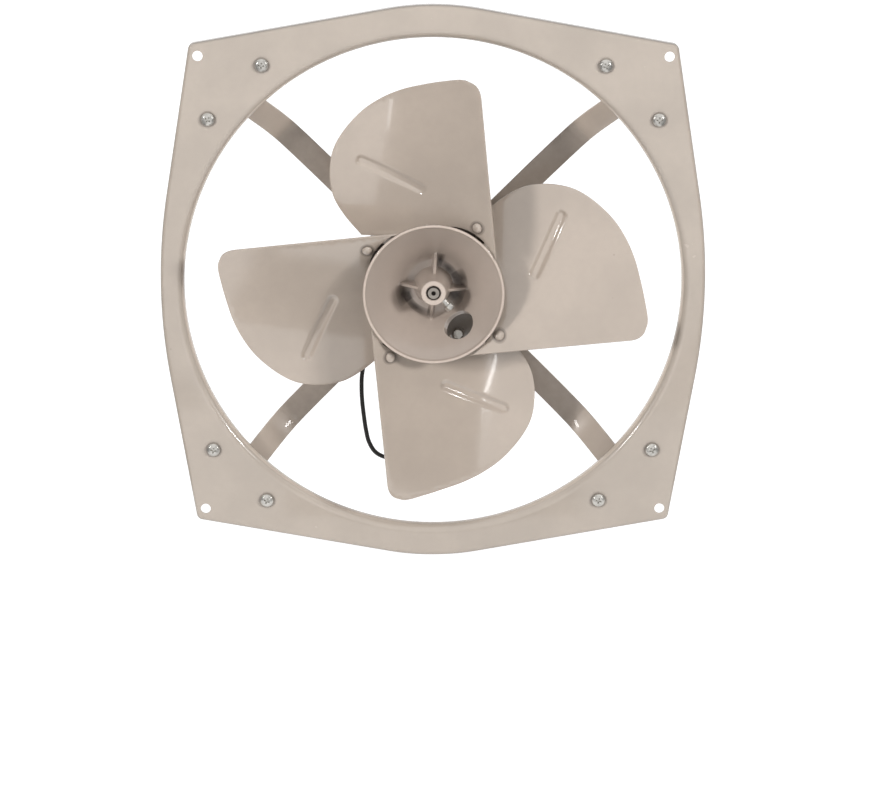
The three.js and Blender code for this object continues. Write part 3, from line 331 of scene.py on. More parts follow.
@dataclass(frozen=True)
class Enamel:
    """Sprayed gloss enamel with orange peel, faint clouds, specks, painted shade with soiling, and painted
    highlights.

    Sizes are in millimetres, the edges of a soft step are (start, width).
    """

    name: str
    colour: Colour
    roughness: float = 0.22
    coat: float = 0.35
    clouds: float = 0.035
    peel: float = 0.012
    casting: float = 0.0
    heads: tuple[Pair, ...] = ()
    # Painted contact shadow with soiling round the screw heads: where it fades, and how strong it is.
    ring_edge: Pair = (5.4, 3.4)
    ring_shade_and_dirt: float = 0.55
    cloud_size: float = 70.0
    cloud_edge: Pair = (0.3, 0.4)
    cloud_dark: float = 2.2
    grain_size: float = 6.0
    grain_edge: Pair = (0.35, 0.3)
    grain_share: float = 0.12
    grain_dark: float = 0.86
    speck_scale: float = 55.0
    speck_edge: Pair = (0.03, 0.035)
    speck_share: float = 0.3
    speck_dark: float = 0.45
    cluster_size: float = 24.0
    cluster_edge: Pair = (0.6, 0.05)
    # Dark brown towards which painted shade and soiling darken the paint.
    shade_and_dirt: Colour = paint_colour(46, 36, 30)
    # How much a painted highlight lightens the paint.
    highlight_gain: float = 1.5
    peel_sizes: Pair = (2.6, 11.0)
    casting_size: float = 1.3
    shade_dirt_cover: Pair = (0.75, 0.35)
    highlight_cover: Pair = (0.6, 0.3)
    roughening: tuple[float, float, float] = (0.06, 0.35, 0.05)
    coat_lost: float = 0.9
    coat_roughness: float = 0.05
    specular: float = 0.8

    def rings(self, tree: SurfaceTree) -> Signal:
        """Painted contact shadow and soiling round the screw heads.

        Args:
            tree: The material's tree.

        Returns:
            Painted shadow and soiling from 0 to 1, the same in all four corners.
        """
        axes = (tree.add("ShaderNodeSeparateXYZ", None, {0: tree.place}, axis) for axis in (0, 2))
        x, z = (axis.maths("ABSOLUTE") for axis in axes)
        away: Number = 1.0
        for across, up in self.heads:
            place = ((x - across * MM) ** 2.0 + (z - up * MM) ** 2.0) ** 0.5
            away = place.maths("MINIMUM", away)
        start, width = self.ring_edge
        return 1.0 - away.above(start * MM, width * MM)

    def paint(self, tree: SurfaceTree, cloud: Signal, grain: Signal, shade_and_dirt: Signal) -> Signal:
        """Colour of the paint, with its clouds, grain, specks, painted shade with soiling, and painted
        highlights.

        Args:
            tree: The material's tree.
            cloud: Broad noise.
            grain: Fine noise.
            shade_and_dirt: Share of painted shade and soiling.

        Returns:
            The colour.
        """
        sockets = {"Vector": tree.place, "Scale": self.speck_scale}
        speck = tree.add("ShaderNodeTexVoronoi", {"feature": "F1"}, sockets, "Distance")
        cluster = tree.noise(self.cluster_size, 1.0).above(*self.cluster_edge)
        spots = (1.0 - speck.above(*self.speck_edge)) * cluster
        dull = shade(self.colour, 1.0 - self.cloud_dark * self.clouds)
        colour = tree.blend(cloud.above(*self.cloud_edge), dull, shade(self.colour, 1.0 + self.clouds))
        grains = grain.above(*self.grain_edge) * self.grain_share
        colour = tree.blend(grains, colour, shade(self.colour, self.grain_dark))
        colour = tree.blend(spots * self.speck_share, colour, shade(self.colour, self.speck_dark))
        # Painted shade with soiling darkens the colour.
        colour = tree.blend(shade_and_dirt, colour, self.shade_and_dirt)
        # Painted highlight: a painted mark lightens the colour.
        least, by_grain = self.highlight_cover
        worn = tree.attribute("worn") * (least + by_grain * grain)
        return tree.blend(worn, colour, shade(self.colour, self.highlight_gain))

    def material(self) -> bpy.types.Material:
        """Makes the enamel.

        Returns:
            The material.
        """
        tree = SurfaceTree(self.name)
        cloud = tree.noise(self.cloud_size, 3.0)
        grain = tree.noise(self.grain_size, 4.0)
        # Painted shade with soiling, from a painted mark and the rings round the screw heads, darkens the
        # paint, dulls its coat and roughens it.
        grime = tree.attribute("grime")
        # Painted contact shadow with soiling round the screw heads.
        if self.heads:
            grime = grime + self.ring_shade_and_dirt * self.rings(tree)
        least, by_grain = self.shade_dirt_cover
        shade_and_dirt = grime * (least + by_grain * grain)
        fine, broad = self.peel_sizes
        peel = tree.noise(fine, 1.0) * self.peel + tree.noise(broad, 1.0) * (self.peel * 2.0)
        height = peel + tree.noise(self.casting_size, 4.0) * self.casting
        by_cloud, by_dirt, by_grain = self.roughening
        sockets = {
            "Base Color": self.paint(tree, cloud, grain, shade_and_dirt),
            "Roughness": self.roughness + by_cloud * cloud + by_dirt * shade_and_dirt + by_grain * grain,
            "Coat Weight": self.coat * (1.0 - self.coat_lost * shade_and_dirt),
            "Coat Roughness": self.coat_roughness,
            "Specular IOR Level": self.specular,
            "Normal": tree.relief(height, 1.0, 1.0),
        }
        return tree.surface(sockets)


@dataclass(frozen=True)
class PlatedSteel:
    """Zinc-plated or ground steel, with fine turning marks, dull patches and painted shade."""

    name: str
    colour: Colour
    roughness: float = 0.26
    metallic: float = 0.78
    patch_size: float = 5.0
    patch_edge: Pair = (0.35, 0.35)
    patch_shades: Pair = (0.84, 1.06)
    mark_size: float = 0.5
    # Dark brown of the painted shade.
    shade_and_dirt: Colour = paint_colour(38, 31, 27)
    bump: float = 0.6
    shade_dirt_dull: float = 0.4
    roughening: Pair = (0.1, 0.05)
    heights: Pair = (0.06, 0.02)

    def material(self) -> bpy.types.Material:
        """Makes the plating.

        Returns:
            The material.
        """
        tree = SurfaceTree(self.name)
        patch = tree.noise(self.patch_size, 4.0)
        fine = tree.noise(self.mark_size, 2.0)
        # Painted shade: a painted mark darkens the steel and dulls its metal.
        grime = tree.attribute("grime")
        dark, light = (shade(self.colour, share) for share in self.patch_shades)
        colour = tree.blend(patch.above(*self.patch_edge), dark, light)
        (by_patch, by_mark), (patch_height, mark_height) = self.roughening, self.heights
        sockets = {
            "Base Color": tree.blend(grime, colour, self.shade_and_dirt),
            "Metallic": self.metallic - grime * self.shade_dirt_dull,
            "Roughness": self.roughness + by_patch * patch + by_mark * fine,
            "Normal": tree.relief(patch * patch_height + fine * mark_height, 1.0, self.bump),
        }
        return tree.surface(sockets)


@dataclass(frozen=True)
class Moulded:
    """Moulded rubber or plastic with a fine texture and pale dust."""

    name: str
    colour: Colour
    roughness: float = 0.5
    texture: float = 0.03
    texture_size: float = 0.7
    dust_size: float = 9.0
    dust_edge: Pair = (0.4, 0.4)
    dust_share: float = 0.6
    dust_light: float = 2.1
    bump: float = 0.8

    def material(self) -> bpy.types.Material:
        """Makes the moulding's surface.

        Returns:
            The material.
        """
        tree = SurfaceTree(self.name)
        patch = tree.noise(self.dust_size, 3.0)
        texture = tree.noise(self.texture_size, 2.0)
        dust = patch.above(*self.dust_edge) * self.dust_share
        sockets = {
            "Base Color": tree.blend(dust, self.colour, shade(self.colour, self.dust_light)),
            "Roughness": self.roughness + 0.14 * patch,
            "Normal": tree.relief(texture * self.texture, 1.0, self.bump),
        }
        return tree.surface(sockets)


@dataclass(frozen=True)
class DrawnCan:
    """Drawn aluminium can, with streaks along its length."""

    name: str
    colour: Colour
    roughness: float = 0.28
    streak_size: float = 1.2
    streak_stretch: Place = (1.0, 26.0, 1.0)
    streak_shades: Pair = (0.86, 1.05)
    streak_height: float = 0.03
    patch_size: float = 14.0
    bump: float = 0.7

    def material(self) -> bpy.types.Material:
        """Makes the can's surface.

        Returns:
            The material.
        """
        tree = SurfaceTree(self.name)
        streak = tree.noise(self.streak_size, 3.0, self.streak_stretch)
        patch = tree.noise(self.patch_size, 3.0)
        dark, light = (shade(self.colour, share) for share in self.streak_shades)
        sockets = {
            "Base Color": tree.blend(streak, dark, light),
            "Metallic": 1.0,
            "Roughness": self.roughness + 0.14 * patch,
            "Normal": tree.relief(streak * self.streak_height, 1.0, self.bump),
        }
        return tree.surface(sockets)


@dataclass(frozen=True)
class Laminations:
    """Stack of thin steel sheets, seen as fine lines across the shaft."""

    name: str
    colour: Colour
    roughness: float = 0.42
    metallic: float = 0.8
    line_scale: float = 320.0
    line_edge: Pair = (0.75, 0.2)
    line_dark: float = 0.45
    line_height: float = 0.08
    rust: Colour = paint_colour(112, 78, 54)
    rust_size: float = 8.0
    rust_edge: Pair = (0.55, 0.2)
    rust_share: float = 0.4
    bump: float = 0.8

    def material(self) -> bpy.types.Material:
        """Makes the stack's surface.

        Returns:
            The material.
        """
        tree = SurfaceTree(self.name)
        settings = {"wave_type": "BANDS", "bands_direction": "Y", "wave_profile": "SAW"}
        wave = {"Vector": tree.place, "Scale": self.line_scale}
        line = tree.add("ShaderNodeTexWave", settings, wave, "Fac")
        patch = tree.noise(self.rust_size, 4.0)
        colour = tree.blend(line.above(*self.line_edge), self.colour, shade(self.colour, self.line_dark))
        sockets = {
            "Base Color": tree.blend(patch.above(*self.rust_edge) * self.rust_share, colour, self.rust),
            "Metallic": self.metallic,
            "Roughness": self.roughness + 0.2 * patch,
            "Normal": tree.relief(line * self.line_height, 1.0, self.bump),
        }
        return tree.surface(sockets)


@dataclass(frozen=True)
class EnamelledWire:
    """Varnished copper wire, wound round the bore."""

    name: str
    colour: Colour
    roughness: float = 0.3
    metallic: float = 0.75
    wire_scale: float = 160.0
    wire_wobble: float = 1.5
    wire_dark: float = 0.5
    wire_height: float = 0.35
    char_size: float = 7.0
    char_edge: Pair = (0.5, 0.3)
    char_share: float = 0.35
    char_dark: float = 0.6
    bump: float = 0.9

    def material(self) -> bpy.types.Material:
        """Makes the winding's surface.

        Returns:
            The material.
        """
        tree = SurfaceTree(self.name)
        settings = {"wave_type": "RINGS", "rings_direction": "Y", "wave_profile": "SIN"}
        wave = {"Vector": tree.place, "Scale": self.wire_scale}
        wave |= {"Distortion": self.wire_wobble, "Detail Scale": 3.0}
        wire = tree.add("ShaderNodeTexWave", settings, wave, "Fac")
        patch = tree.noise(self.char_size, 3.0)
        colour = tree.blend(wire, shade(self.colour, self.wire_dark), self.colour)
        char = patch.above(*self.char_edge) * self.char_share
        sockets = {
            "Base Color": tree.blend(char, colour, shade(self.colour, self.char_dark)),
            "Metallic": self.metallic,
            "Roughness": self.roughness + 0.15 * patch,
            "Normal": tree.relief(wire * self.wire_height, 1.0, self.bump),
        }
        return tree.surface(sockets)


class Workshop:
    """What every piece needs: the fan's finishes, and the trees that set fasteners and repeat shapes."""

    def __init__(self) -> None:
        """Makes the materials and the trees."""
        self.fasteners = fastener_tree()
        self.around = round_tree()
        # The frame's enamel has painted contact shadows round the screw heads.
        self.frame = Enamel(
            "frame_enamel", paint_colour(186, 174, 162), 0.2, 0.7, heads=((149.6, 197.0), (197.0, 149.6))
        ).material()
        self.blade = Enamel("blade_enamel", paint_colour(187, 173, 160), 0.12, 1.0, peel=0.006).material()
        self.hub = Enamel("hub_enamel", paint_colour(177, 163, 152), 0.26, 0.5, casting=0.02).material()
        self.bar = Enamel("bar_enamel", paint_colour(190, 176, 163), 0.3, 0.25).material()
        self.motor = Enamel("motor_enamel", paint_colour(124, 116, 108), 0.4, 0.1, casting=0.1).material()
        self.zinc = PlatedSteel("zinc_plate", paint_colour(212, 209, 203), 0.22).material()
        self.steel = PlatedSteel("ground_steel", paint_colour(165, 158, 150), 0.3).material()
        self.lamination = Laminations("core_sheets", paint_colour(104, 106, 110)).material()
        self.copper = EnamelledWire("winding_wire", paint_colour(172, 92, 46)).material()
        self.plastic = Moulded("gland_plastic", paint_colour(30, 29, 28), 0.5, 0.04).material()
        self.rubber = Moulded("lead_rubber", paint_colour(24, 22, 21), 0.42, 0.02).material()
        self.can = DrawnCan("drawn_can", paint_colour(190, 192, 195)).material()


# ---------------------------------------------------------------------------
# Shapes
# ---------------------------------------------------------------------------


@dataclass
class Shell:
    """Points and faces of one piece, gathered in millimetres, with values painted on its points."""

    points: list[Vector] = field(default_factory=list)
    faces: list[tuple[int, ...]] = field(default_factory=list)
    paint: dict[str, dict[int, float]] = field(default_factory=dict)

    def row(self, points: Iterable[Sequence[float]]) -> list[int]:
        """Adds a row of points.

        Args:
            points: The places, in millimetres.

        Returns:
            Their numbers.
        """
        start = len(self.points)
        self.points.extend(Vector(point) for point in points)
        return list(range(start, len(self.points)))

    def skin(self, rows: Sequence[Sequence[int]], closed: bool = False, ends: bool = False) -> None:
        """Joins rows of points by four-sided faces.

        Args:
            rows: Closed rows of equal length.
            closed: Whether the last row is joined to the first.
            ends: Whether the first and the last row are each closed with one face.
        """
        order = list(rows) + [rows[0]] if closed else list(rows)
        for low, high in zip(order, order[1:]):
            count = len(low)
            for index in range(count):
                after = (index + 1) % count
                self.faces.append((low[index], low[after], high[after], high[index]))
        if ends:
            self.faces.extend((tuple(rows[0]), tuple(reversed(rows[-1]))))

    def mark(self, name: str, numbers: Iterable[int], value: float) -> None:
        """Paints a value on points.

        Args:
            name: The attribute's name.
            numbers: The points' numbers.
            value: The value.
        """
        painted = self.paint.setdefault(name, {})
        for number in numbers:
            painted[number] = value

    def join(self, other: "Shell") -> None:
        """Takes in another shell's points, faces and paint."""
        start = len(self.points)
        self.points.extend(point.copy() for point in other.points)
        self.faces.extend(tuple(start + number for number in face) for face in other.faces)
        for name, painted in other.paint.items():
            self.paint.setdefault(name, {}).update({start + key: value for key, value in painted.items()})

    def moved(self, matrix: Matrix) -> "Shell":
        """A copy moved by a matrix.

        Args:
            matrix: The move, in millimetres.

        Returns:
            The moved copy.
        """
        painted = {name: dict(values) for name, values in self.paint.items()}
        return Shell([matrix @ point for point in self.points], list(self.faces), painted)

    def mesh(self, name: str, sharp: float = CAST_EDGE, outward: bool = True) -> bpy.types.Object:
        """Makes the mesh object, in metres.

        Args:
            name: The object's name.
            sharp: Angle in degrees past which an edge is sharp.
            outward: Whether faces are turned outward, as on a closed shell.

        Returns:
            The object, linked to the scene.
        """
        data = bpy.data.meshes.new(name)
        data.from_pydata([point * MM for point in self.points], [], self.faces)
        for key, painted in self.paint.items():
            layer = data.attributes.new(key, "FLOAT", "POINT")
            for number, value in painted.items():
                layer.data[number].value = value
        shape = bmesh.new()
        shape.from_mesh(data)
        bmesh.ops.remove_doubles(shape, verts=shape.verts, dist=1e-6)
        bmesh.ops.dissolve_degenerate(shape, edges=shape.edges, dist=1e-7)
        if outward:
            bmesh.ops.recalc_face_normals(shape, faces=shape.faces)
        shape.to_mesh(data)
        shape.free()
        data.validate()
        data.shade_smooth()
        data.set_sharp_from_angle(angle=math.radians(sharp))
        made = bpy.data.objects.new(name, data)
        bpy.context.scene.collection.objects.link(made)
        return made


def softened(corners: Sequence[Pair], radii: Sequence[float], steps: int = 4) -> list[Pair]:
    """Rounds the corners of a closed outline.

    Args:
        corners: The outline's corners.
        radii: Radius at each corner, 0 where it stays sharp.
        steps: Steps of each round.

    Returns:
        The rounded outline.
    """
    made: list[Pair] = []
    count = len(corners)
    for index, (corner, radius) in enumerate(zip(corners, radii)):
        here = Vector(corner)
        before = Vector(corners[index - 1]) - here
        after = Vector(corners[(index + 1) % count]) - here
        if radius <= 0 or before.length < TINY or after.length < TINY:
            made.append((here.x, here.y))
            continue
        half = before.angle(after) / 2
        room = (before.length * ROUND_SHARE, after.length * ROUND_SHARE)
        reach = min(radius / max(math.tan(half), 1e-3), *room)
        start = here + before.normalized() * reach
        end = here + after.normalized() * reach
        for step in range(steps + 1):
            share = step / steps
            point = start * (1 - share) ** 2 + here * (2 * share * (1 - share)) + end * share**2
            made.append((point.x, point.y))
    return made


def turned(corners: Sequence[Pair], facets: int = 96) -> Shell:
    """Solid of revolution about the shaft's axis.

    Args:
        corners: Closed outline of radius and depth.
        facets: Steps round the axis.

    Returns:
        The shell.
    """
    shell = Shell()
    rows = []
    for index in range(facets):
        angle = 2 * math.pi * index / facets
        rows.append(shell.row((r * math.cos(angle), y, r * math.sin(angle)) for r, y in corners))
    shell.skin(rows, closed=True)
    return shell


def slab(outline: Sequence[Pair], front: float, back: float) -> Shell:
    """Straight slab with an outline in the frame's plane.

    Args:
        outline: Closed outline of x and z.
        front: Depth of its front.
        back: Depth of its back.

    Returns:
        The shell.
    """
    shell = Shell()
    near = shell.row((x, front, z) for x, z in outline)
    far = shell.row((x, back, z) for x, z in outline)
    shell.skin([near, far], ends=True)
    return shell


def brick(low: Place, high: Place, radius: float, steps: int = 3) -> Shell:
    """Box with its four long edges along the shaft's axis rounded, and a small chamfer at both faces.

    Args:
        low: Lowest corner.
        high: Highest corner.
        radius: Radius of the edges.
        steps: Steps of each round.

    Returns:
        The shell.
    """
    corners = [(low[0], low[2]), (high[0], low[2]), (high[0], high[2]), (low[0], high[2])]
    shell = Shell()
    chamfer = radius * 0.45
    rows = []
    signs = ((1, 1), (-1, 1), (-1, -1), (1, -1))
    front, back = low[1], high[1]
    for depth, inset in ((front, chamfer), (front + chamfer, 0.0), (back - chamfer, 0.0), (back, chamfer)):
        inner = [(x + sx * inset, z + sz * inset) for (x, z), (sx, sz) in zip(corners, signs)]
        rows.append(shell.row((x, depth, z) for x, z in softened(inner, [radius] * 4, steps)))
    shell.skin(rows, ends=True)
    return shell


def circle(radius: float, count: int) -> list[Pair]:
    """Places round a circle, from the first axis towards the second."""
    angles = (math.tau * index / count for index in range(count))
    return [(radius * math.cos(angle), radius * math.sin(angle)) for angle in angles]


def bent(first: Vector, middle: Vector, last: Vector, count: int) -> list[Vector]:
    """Curve from one place to another, drawn towards a place between them.

    Args:
        first: Where it starts.
        middle: The place that draws it.
        last: Where it ends.
        count: Number of points.

    Returns:
        Points in the plane.
    """
    knots = (first, first.lerp(middle, 2 / 3), last.lerp(middle, 2 / 3), last)
    return [point.to_2d() for point in interpolate_bezier(*(knot.to_3d() for knot in knots), count)]


def filled(outline: Sequence[Vector], inner: Sequence[Vector]) -> tuple[list[Vector], list[tuple[int, ...]]]:
    """Triangles that fill a closed outline.

    Args:
        outline: The outline's points.
        inner: More points inside it.

    Returns:
        The points, outline first, and the triangles.
    """
    count = len(outline)
    edges = [(index, (index + 1) % count) for index in range(count)]
    found, _, faces, _, _, _ = delaunay_2d_cdt([*outline, *inner], edges, [], 1, 1e-5)
    return found, [tuple(face) for face in faces]


def within(place: Vector, outline: Sequence[Vector], gap: float) -> bool:
    """Whether a place is inside an outline and a gap away from it.

    Args:
        place: The place.
        outline: The closed outline.
        gap: The least distance to its points.

    Returns:
        True where it is.
    """
    inside = False
    before = outline[-1]
    for point in outline:
        if (point.y > place.y) != (before.y > place.y):
            share = (place.y - before.y) / (point.y - before.y)
            if before.x + share * (point.x - before.x) > place.x:
                inside = not inside
        before = point
    return inside and min((place - point).length for point in outline) > gap


def aimed(direction: Vector, place: Sequence[float]) -> Matrix:
    """Matrix that lays the +Y axis along a direction from a place.

    Args:
        direction: The direction.
        place: The place, in millimetres.

    Returns:
        The matrix.
    """
    turn = Vector((0, 1, 0)).rotation_difference(direction)
    return Matrix.Translation(Vector(place)) @ turn.to_matrix().to_4x4()


def clock(angle: float) -> Vector:
    """Direction in the frame's plane, measured from the top towards the right, in degrees."""
    return Vector((math.sin(math.radians(angle)), 0.0, math.cos(math.radians(angle))))


def spline(points: Sequence[Sequence[float]], steps: int) -> list[Vector]:
    """Smooth line through points, by centripetal Catmull-Rom.

    Args:
        points: The points.
        steps: Steps between two points.

    Returns:
        Points of the line.
    """
    knots = [Vector(point) for point in points]
    knots = [2 * knots[0] - knots[1], *knots, 2 * knots[-1] - knots[-2]]
    made: list[Vector] = []
    for p0, p1, p2, p3 in zip(knots, knots[1:], knots[2:], knots[3:]):
        d0, d1, d2 = ((b - a).length ** 0.5 for a, b in ((p0, p1), (p1, p2), (p2, p3)))
        start = ((p1 - p0) / d0 - (p2 - p0) / (d0 + d1) + (p2 - p1) / d1) * d1
        end = ((p2 - p1) / d1 - (p3 - p1) / (d1 + d2) + (p3 - p2) / d2) * d1
        for step in range(steps):
            t = step / steps
            square, cube = 3 * (p2 - p1) - 2 * start - end, 2 * (p1 - p2) + start + end
            made.append(p1 + start * t + square * t**2 + cube * t**3)
    made.append(knots[-2].copy())
    return made


# ---------------------------------------------------------------------------
# Geometry Nodes
# ---------------------------------------------------------------------------


class FormTree(Tree):
    """A Geometry Nodes tree with named inputs, which becomes a plain mesh when it is done."""

    def __init__(self, name: str, inputs: Sequence[tuple[str, str]]) -> None:
        """Makes the tree and its inputs.

        Args:
            name: The tree's name.
            inputs: Pairs of an input's name and its socket type.
        """
        group = bpy.data.node_groups.new(name, "GeometryNodeTree")
        super().__init__(group)
        self.group = group
        self.keys: dict[str, str] = {}
        group.interface.new_socket("Geometry", in_out="INPUT", socket_type="NodeSocketGeometry")
        for label, kind in inputs:
            self.keys[label] = group.interface.new_socket(label, in_out="INPUT", socket_type=kind).identifier
        group.interface.new_socket("Geometry", in_out="OUTPUT", socket_type="NodeSocketGeometry")
        self.source = group.nodes.new("NodeGroupInput")

    def given(self, label: str) -> Signal:
        """One of the tree's inputs."""
        return Signal(self, self.source.outputs[label])

    def finish(self, geometry: Signal) -> None:
        """Ends the tree in Realize Instances and Set Material.

        Args:
            geometry: What the tree has made.
        """
        real = self.add("GeometryNodeRealizeInstances", None, {"Geometry": geometry})
        sockets = {"Geometry": real, "Material": self.given("Finish")}
        painted = self.add("GeometryNodeSetMaterial", None, sockets)
        end = self.group.nodes.new("NodeGroupOutput")
        self.group.links.new(painted.socket, end.inputs[0])

    def apply(self, made: bpy.types.Object, values: dict[str, object]) -> bpy.types.Object:
        """Runs the tree on an object.

        Args:
            made: The object.
            values: Values of the named inputs.

        Returns:
            The same object, with the modifier still on it.
        """
        modifier = made.modifiers.new(self.group.name, "NODES")
        modifier.node_group = self.group
        for label, value in values.items():
            modifier[self.keys[label]] = value
        return made


def settled(made: bpy.types.Object, sharp: float = CAST_EDGE) -> bpy.types.Object:
    """Turns an object's modifiers into a plain mesh.

    Args:
        made: The object.
        sharp: Angle in degrees past which an edge is sharp.

    Returns:
        The same object, with a plain mesh and no modifier.
    """
    bpy.context.view_layer.update()
    graph = bpy.context.evaluated_depsgraph_get()
    whole = made.evaluated_get(graph)
    plain = bpy.data.meshes.new_from_object(whole, preserve_all_data_layers=True, depsgraph=graph)
    made.modifiers.clear()
    made.data = plain
    plain.shade_smooth()
    plain.set_sharp_from_angle(angle=math.radians(sharp))
    return made


def round_tree() -> FormTree:
    """Tree that repeats a shape round the shaft's axis.

    Returns:
        The tree, with inputs Count, First (radians) and Finish.
    """
    inputs = [("Count", "NodeSocketInt"), ("First", "NodeSocketFloat"), ("Finish", "NodeSocketMaterial")]
    tree = FormTree("round_the_shaft", inputs)
    tree.finish(repeat_round(tree, tree.given("Geometry")))
    return tree


def repeat_round(tree: FormTree, geometry: Signal) -> Signal:
    """Instances of a geometry, evenly spaced round the shaft's axis.

    Args:
        tree: The tree, with inputs Count and First.
        geometry: The shape to repeat.

    Returns:
        The instances.
    """
    count = tree.given("Count")
    zero = {"Start Location": (0, 0, 0), "Offset": (0, 0, 0)}
    line = tree.add("GeometryNodeMeshLine", {"mode": "OFFSET"}, {"Count": count, **zero})
    index = tree.add("GeometryNodeInputIndex")
    angle = -(tree.given("First") + index * (2 * math.pi) / count)
    turn = tree.add("ShaderNodeCombineXYZ", None, {"Y": angle})
    sockets = {"Points": line, "Instance": geometry, "Rotation": turn}
    return tree.add("GeometryNodeInstanceOnPoints", None, sockets)


def fastener_tree() -> FormTree:
    """Tree that sets a fastener on every point, turned as the point says and spun at random.

    Returns:
        The tree, with inputs Shape, Spin (radians), Seed and Finish.
    """
    inputs = [
        ("Shape", "NodeSocketObject"),
        ("Spin", "NodeSocketFloat"),
        ("Seed", "NodeSocketInt"),
        ("Finish", "NodeSocketMaterial"),
    ]
    tree = FormTree("fasteners", inputs)
    shape = tree.add("GeometryNodeObjectInfo", None, {"Object": tree.given("Shape")}, "Geometry")
    settings = {"data_type": "FLOAT_VECTOR"}
    turn = tree.add("GeometryNodeInputNamedAttribute", settings, {"Name": "turn"})
    base = tree.add("FunctionNodeEulerToRotation", None, {0: turn})
    low, high, seed, value = 2, 3, 8, 1
    sockets = {low: -tree.given("Spin"), high: tree.given("Spin"), seed: tree.given("Seed")}
    chance = tree.add("FunctionNodeRandomValue", {"data_type": "FLOAT"}, sockets, value)
    spin = tree.add("ShaderNodeCombineXYZ", None, {"Y": chance})
    own = tree.add("FunctionNodeEulerToRotation", None, {0: spin})
    settings = {"rotation_space": "LOCAL"}
    whole = tree.add("FunctionNodeRotateRotation", settings, {0: base, 1: own})
    sockets = {"Points": tree.given("Geometry"), "Instance": shape, "Rotation": whole}
    tree.finish(tree.add("GeometryNodeInstanceOnPoints", None, sockets))
    return tree


@dataclass
class Fastening:
    """Fasteners of one kind, set at their places by Geometry Nodes."""

    name: str
    body: Body
    nodes: Sequence[str]
    slot: str
    finish: bpy.types.Material
    spin: float = 0.0
    seed: int = 3

    def build(self, shop: Workshop, pattern: bpy.types.Object, frames: Sequence[Matrix]) -> bpy.types.Object:
        """Makes the fasteners.

        Args:
            shop: The fan's finishes and trees.
            pattern: One fastener on its own axis, its head towards -Y; it is removed afterwards.
            frames: Where each one goes, in millimetres.

        Returns:
            The piece.
        """
        points = bpy.data.meshes.new(self.name)
        points.from_pydata([matrix.translation * MM for matrix in frames], [], [])
        layer = points.attributes.new("turn", "FLOAT_VECTOR", "POINT")
        for item, matrix in zip(layer.data, frames):
            item.vector = matrix.to_euler("XYZ")
        made = bpy.data.objects.new(self.name, points)
        bpy.context.scene.collection.objects.link(made)
        sockets = {"Shape": pattern, "Spin": self.spin, "Seed": self.seed, "Finish": self.finish}
        shop.fasteners.apply(made, sockets)
        settled(made)
        bpy.data.objects.remove(pattern)
        return placed(made, self.body, self.nodes)


def dressed(made: bpy.types.Object, finish: bpy.types.Material) -> bpy.types.Object:
    """Gives a piece its one finish."""
    made.data.materials.clear()
    made.data.materials.append(finish)
    return made


def placed(made: bpy.types.Object, body: Body, nodes: Sequence[str]) -> bpy.types.Object:
    """Sets a piece on its body, in place of its nodes.

    Args:
        made: The piece.
        body: The body that it rides on.
        nodes: The nodes that it stands for.

    Returns:
        The piece.
    """
    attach(made, body.value)
    if nodes:
        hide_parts(*nodes)
    return made


def fixed(shell: Shell, name: str, finish: bpy.types.Material, node: str) -> None:
    """Makes a piece of the frame's body from a shell.

    Args:
        shell: The shape.
        name: The piece's name.
        finish: Its finish.
        node: The node that it stands for.
    """
    placed(dressed(shell.mesh(name), finish), Body.FRAME, [node])


def numbered(stem: str, count: int) -> list[str]:
    """Names with a number from 1."""
    return [f"{stem}_{index + 1}" for index in range(count)]


# ---------------------------------------------------------------------------
# Studio
# ---------------------------------------------------------------------------


@dataclass
class Viewpoint:
    """Camera at the photograph's viewing angle."""

    azimuth: float = -0.54
    elevation: float = 12.68
    roll: float = 0.14
    distance: float = 2.572
    focal: float = 2901.0
    origin: tuple[float, float] = (433.3, 287.0)
    picture: tuple[float, float] = (894.0, 788.0)
    film: float = 36.0

    def build(self) -> None:
        """Makes the camera, so that the fan's centre falls on its place in the picture."""
        azimuth, elevation, roll = (math.radians(v) for v in (self.azimuth, self.elevation, self.roll))
        flat = Vector((math.sin(azimuth), -math.cos(azimuth), 0.0)) * math.cos(elevation)
        back = flat + Vector((0.0, 0.0, math.sin(elevation)))
        ahead = -back
        level = ahead.cross(Vector((0, 0, 1))).normalized()
        upright = level.cross(ahead)
        right = math.cos(roll) * level + math.sin(roll) * upright
        up = -math.sin(roll) * level + math.cos(roll) * upright
        across = (self.origin[0] - self.picture[0] / 2) / self.focal
        down = (self.origin[1] - self.picture[1] / 2) / self.focal
        pan = Vector((0, 0, 1)).rotation_difference(Vector((across, -down, 1.0)).normalized()).to_matrix()
        axes = pan @ Matrix((right, up, ahead))
        data = bpy.data.cameras.new("photo_view")
        data.sensor_width = self.film
        data.lens = self.focal / self.picture[0] * self.film
        data.clip_start, data.clip_end = 0.05, 50.0
        camera = bpy.data.objects.new("photo_view", data)
        turn = Matrix((axes[0], axes[1], -axes[2])).transposed()
        camera.matrix_world = Matrix.Translation(back * self.distance) @ turn.to_4x4()
        bpy.context.scene.collection.objects.link(camera)
        bpy.context.scene.camera = camera


@dataclass
class Lamp:
    """One soft box."""

    name: str
    place: Place
    size: tuple[float, float]
    power: float
    mirrored: bool = False
    aim: Place = (0.0, 0.0, 0.0)
    lean: float = 0.0

    def build(self) -> None:
        """Makes the lamp."""
        data = bpy.data.lights.new(self.name, "AREA")
        data.shape = "RECTANGLE"
        data.size, data.size_y = self.size
        data.energy = self.power
        lamp = bpy.data.objects.new(self.name, data)
        lamp.location = self.place
        turn = (Vector(self.aim) - Vector(self.place)).to_track_quat("-Z", "Y").to_matrix()
        lamp.rotation_euler = (turn @ Matrix.Rotation(math.radians(self.lean), 3, "Z")).to_euler()
        lamp.visible_glossy = self.mirrored
        lamp.visible_camera = False
        bpy.context.scene.collection.objects.link(lamp)


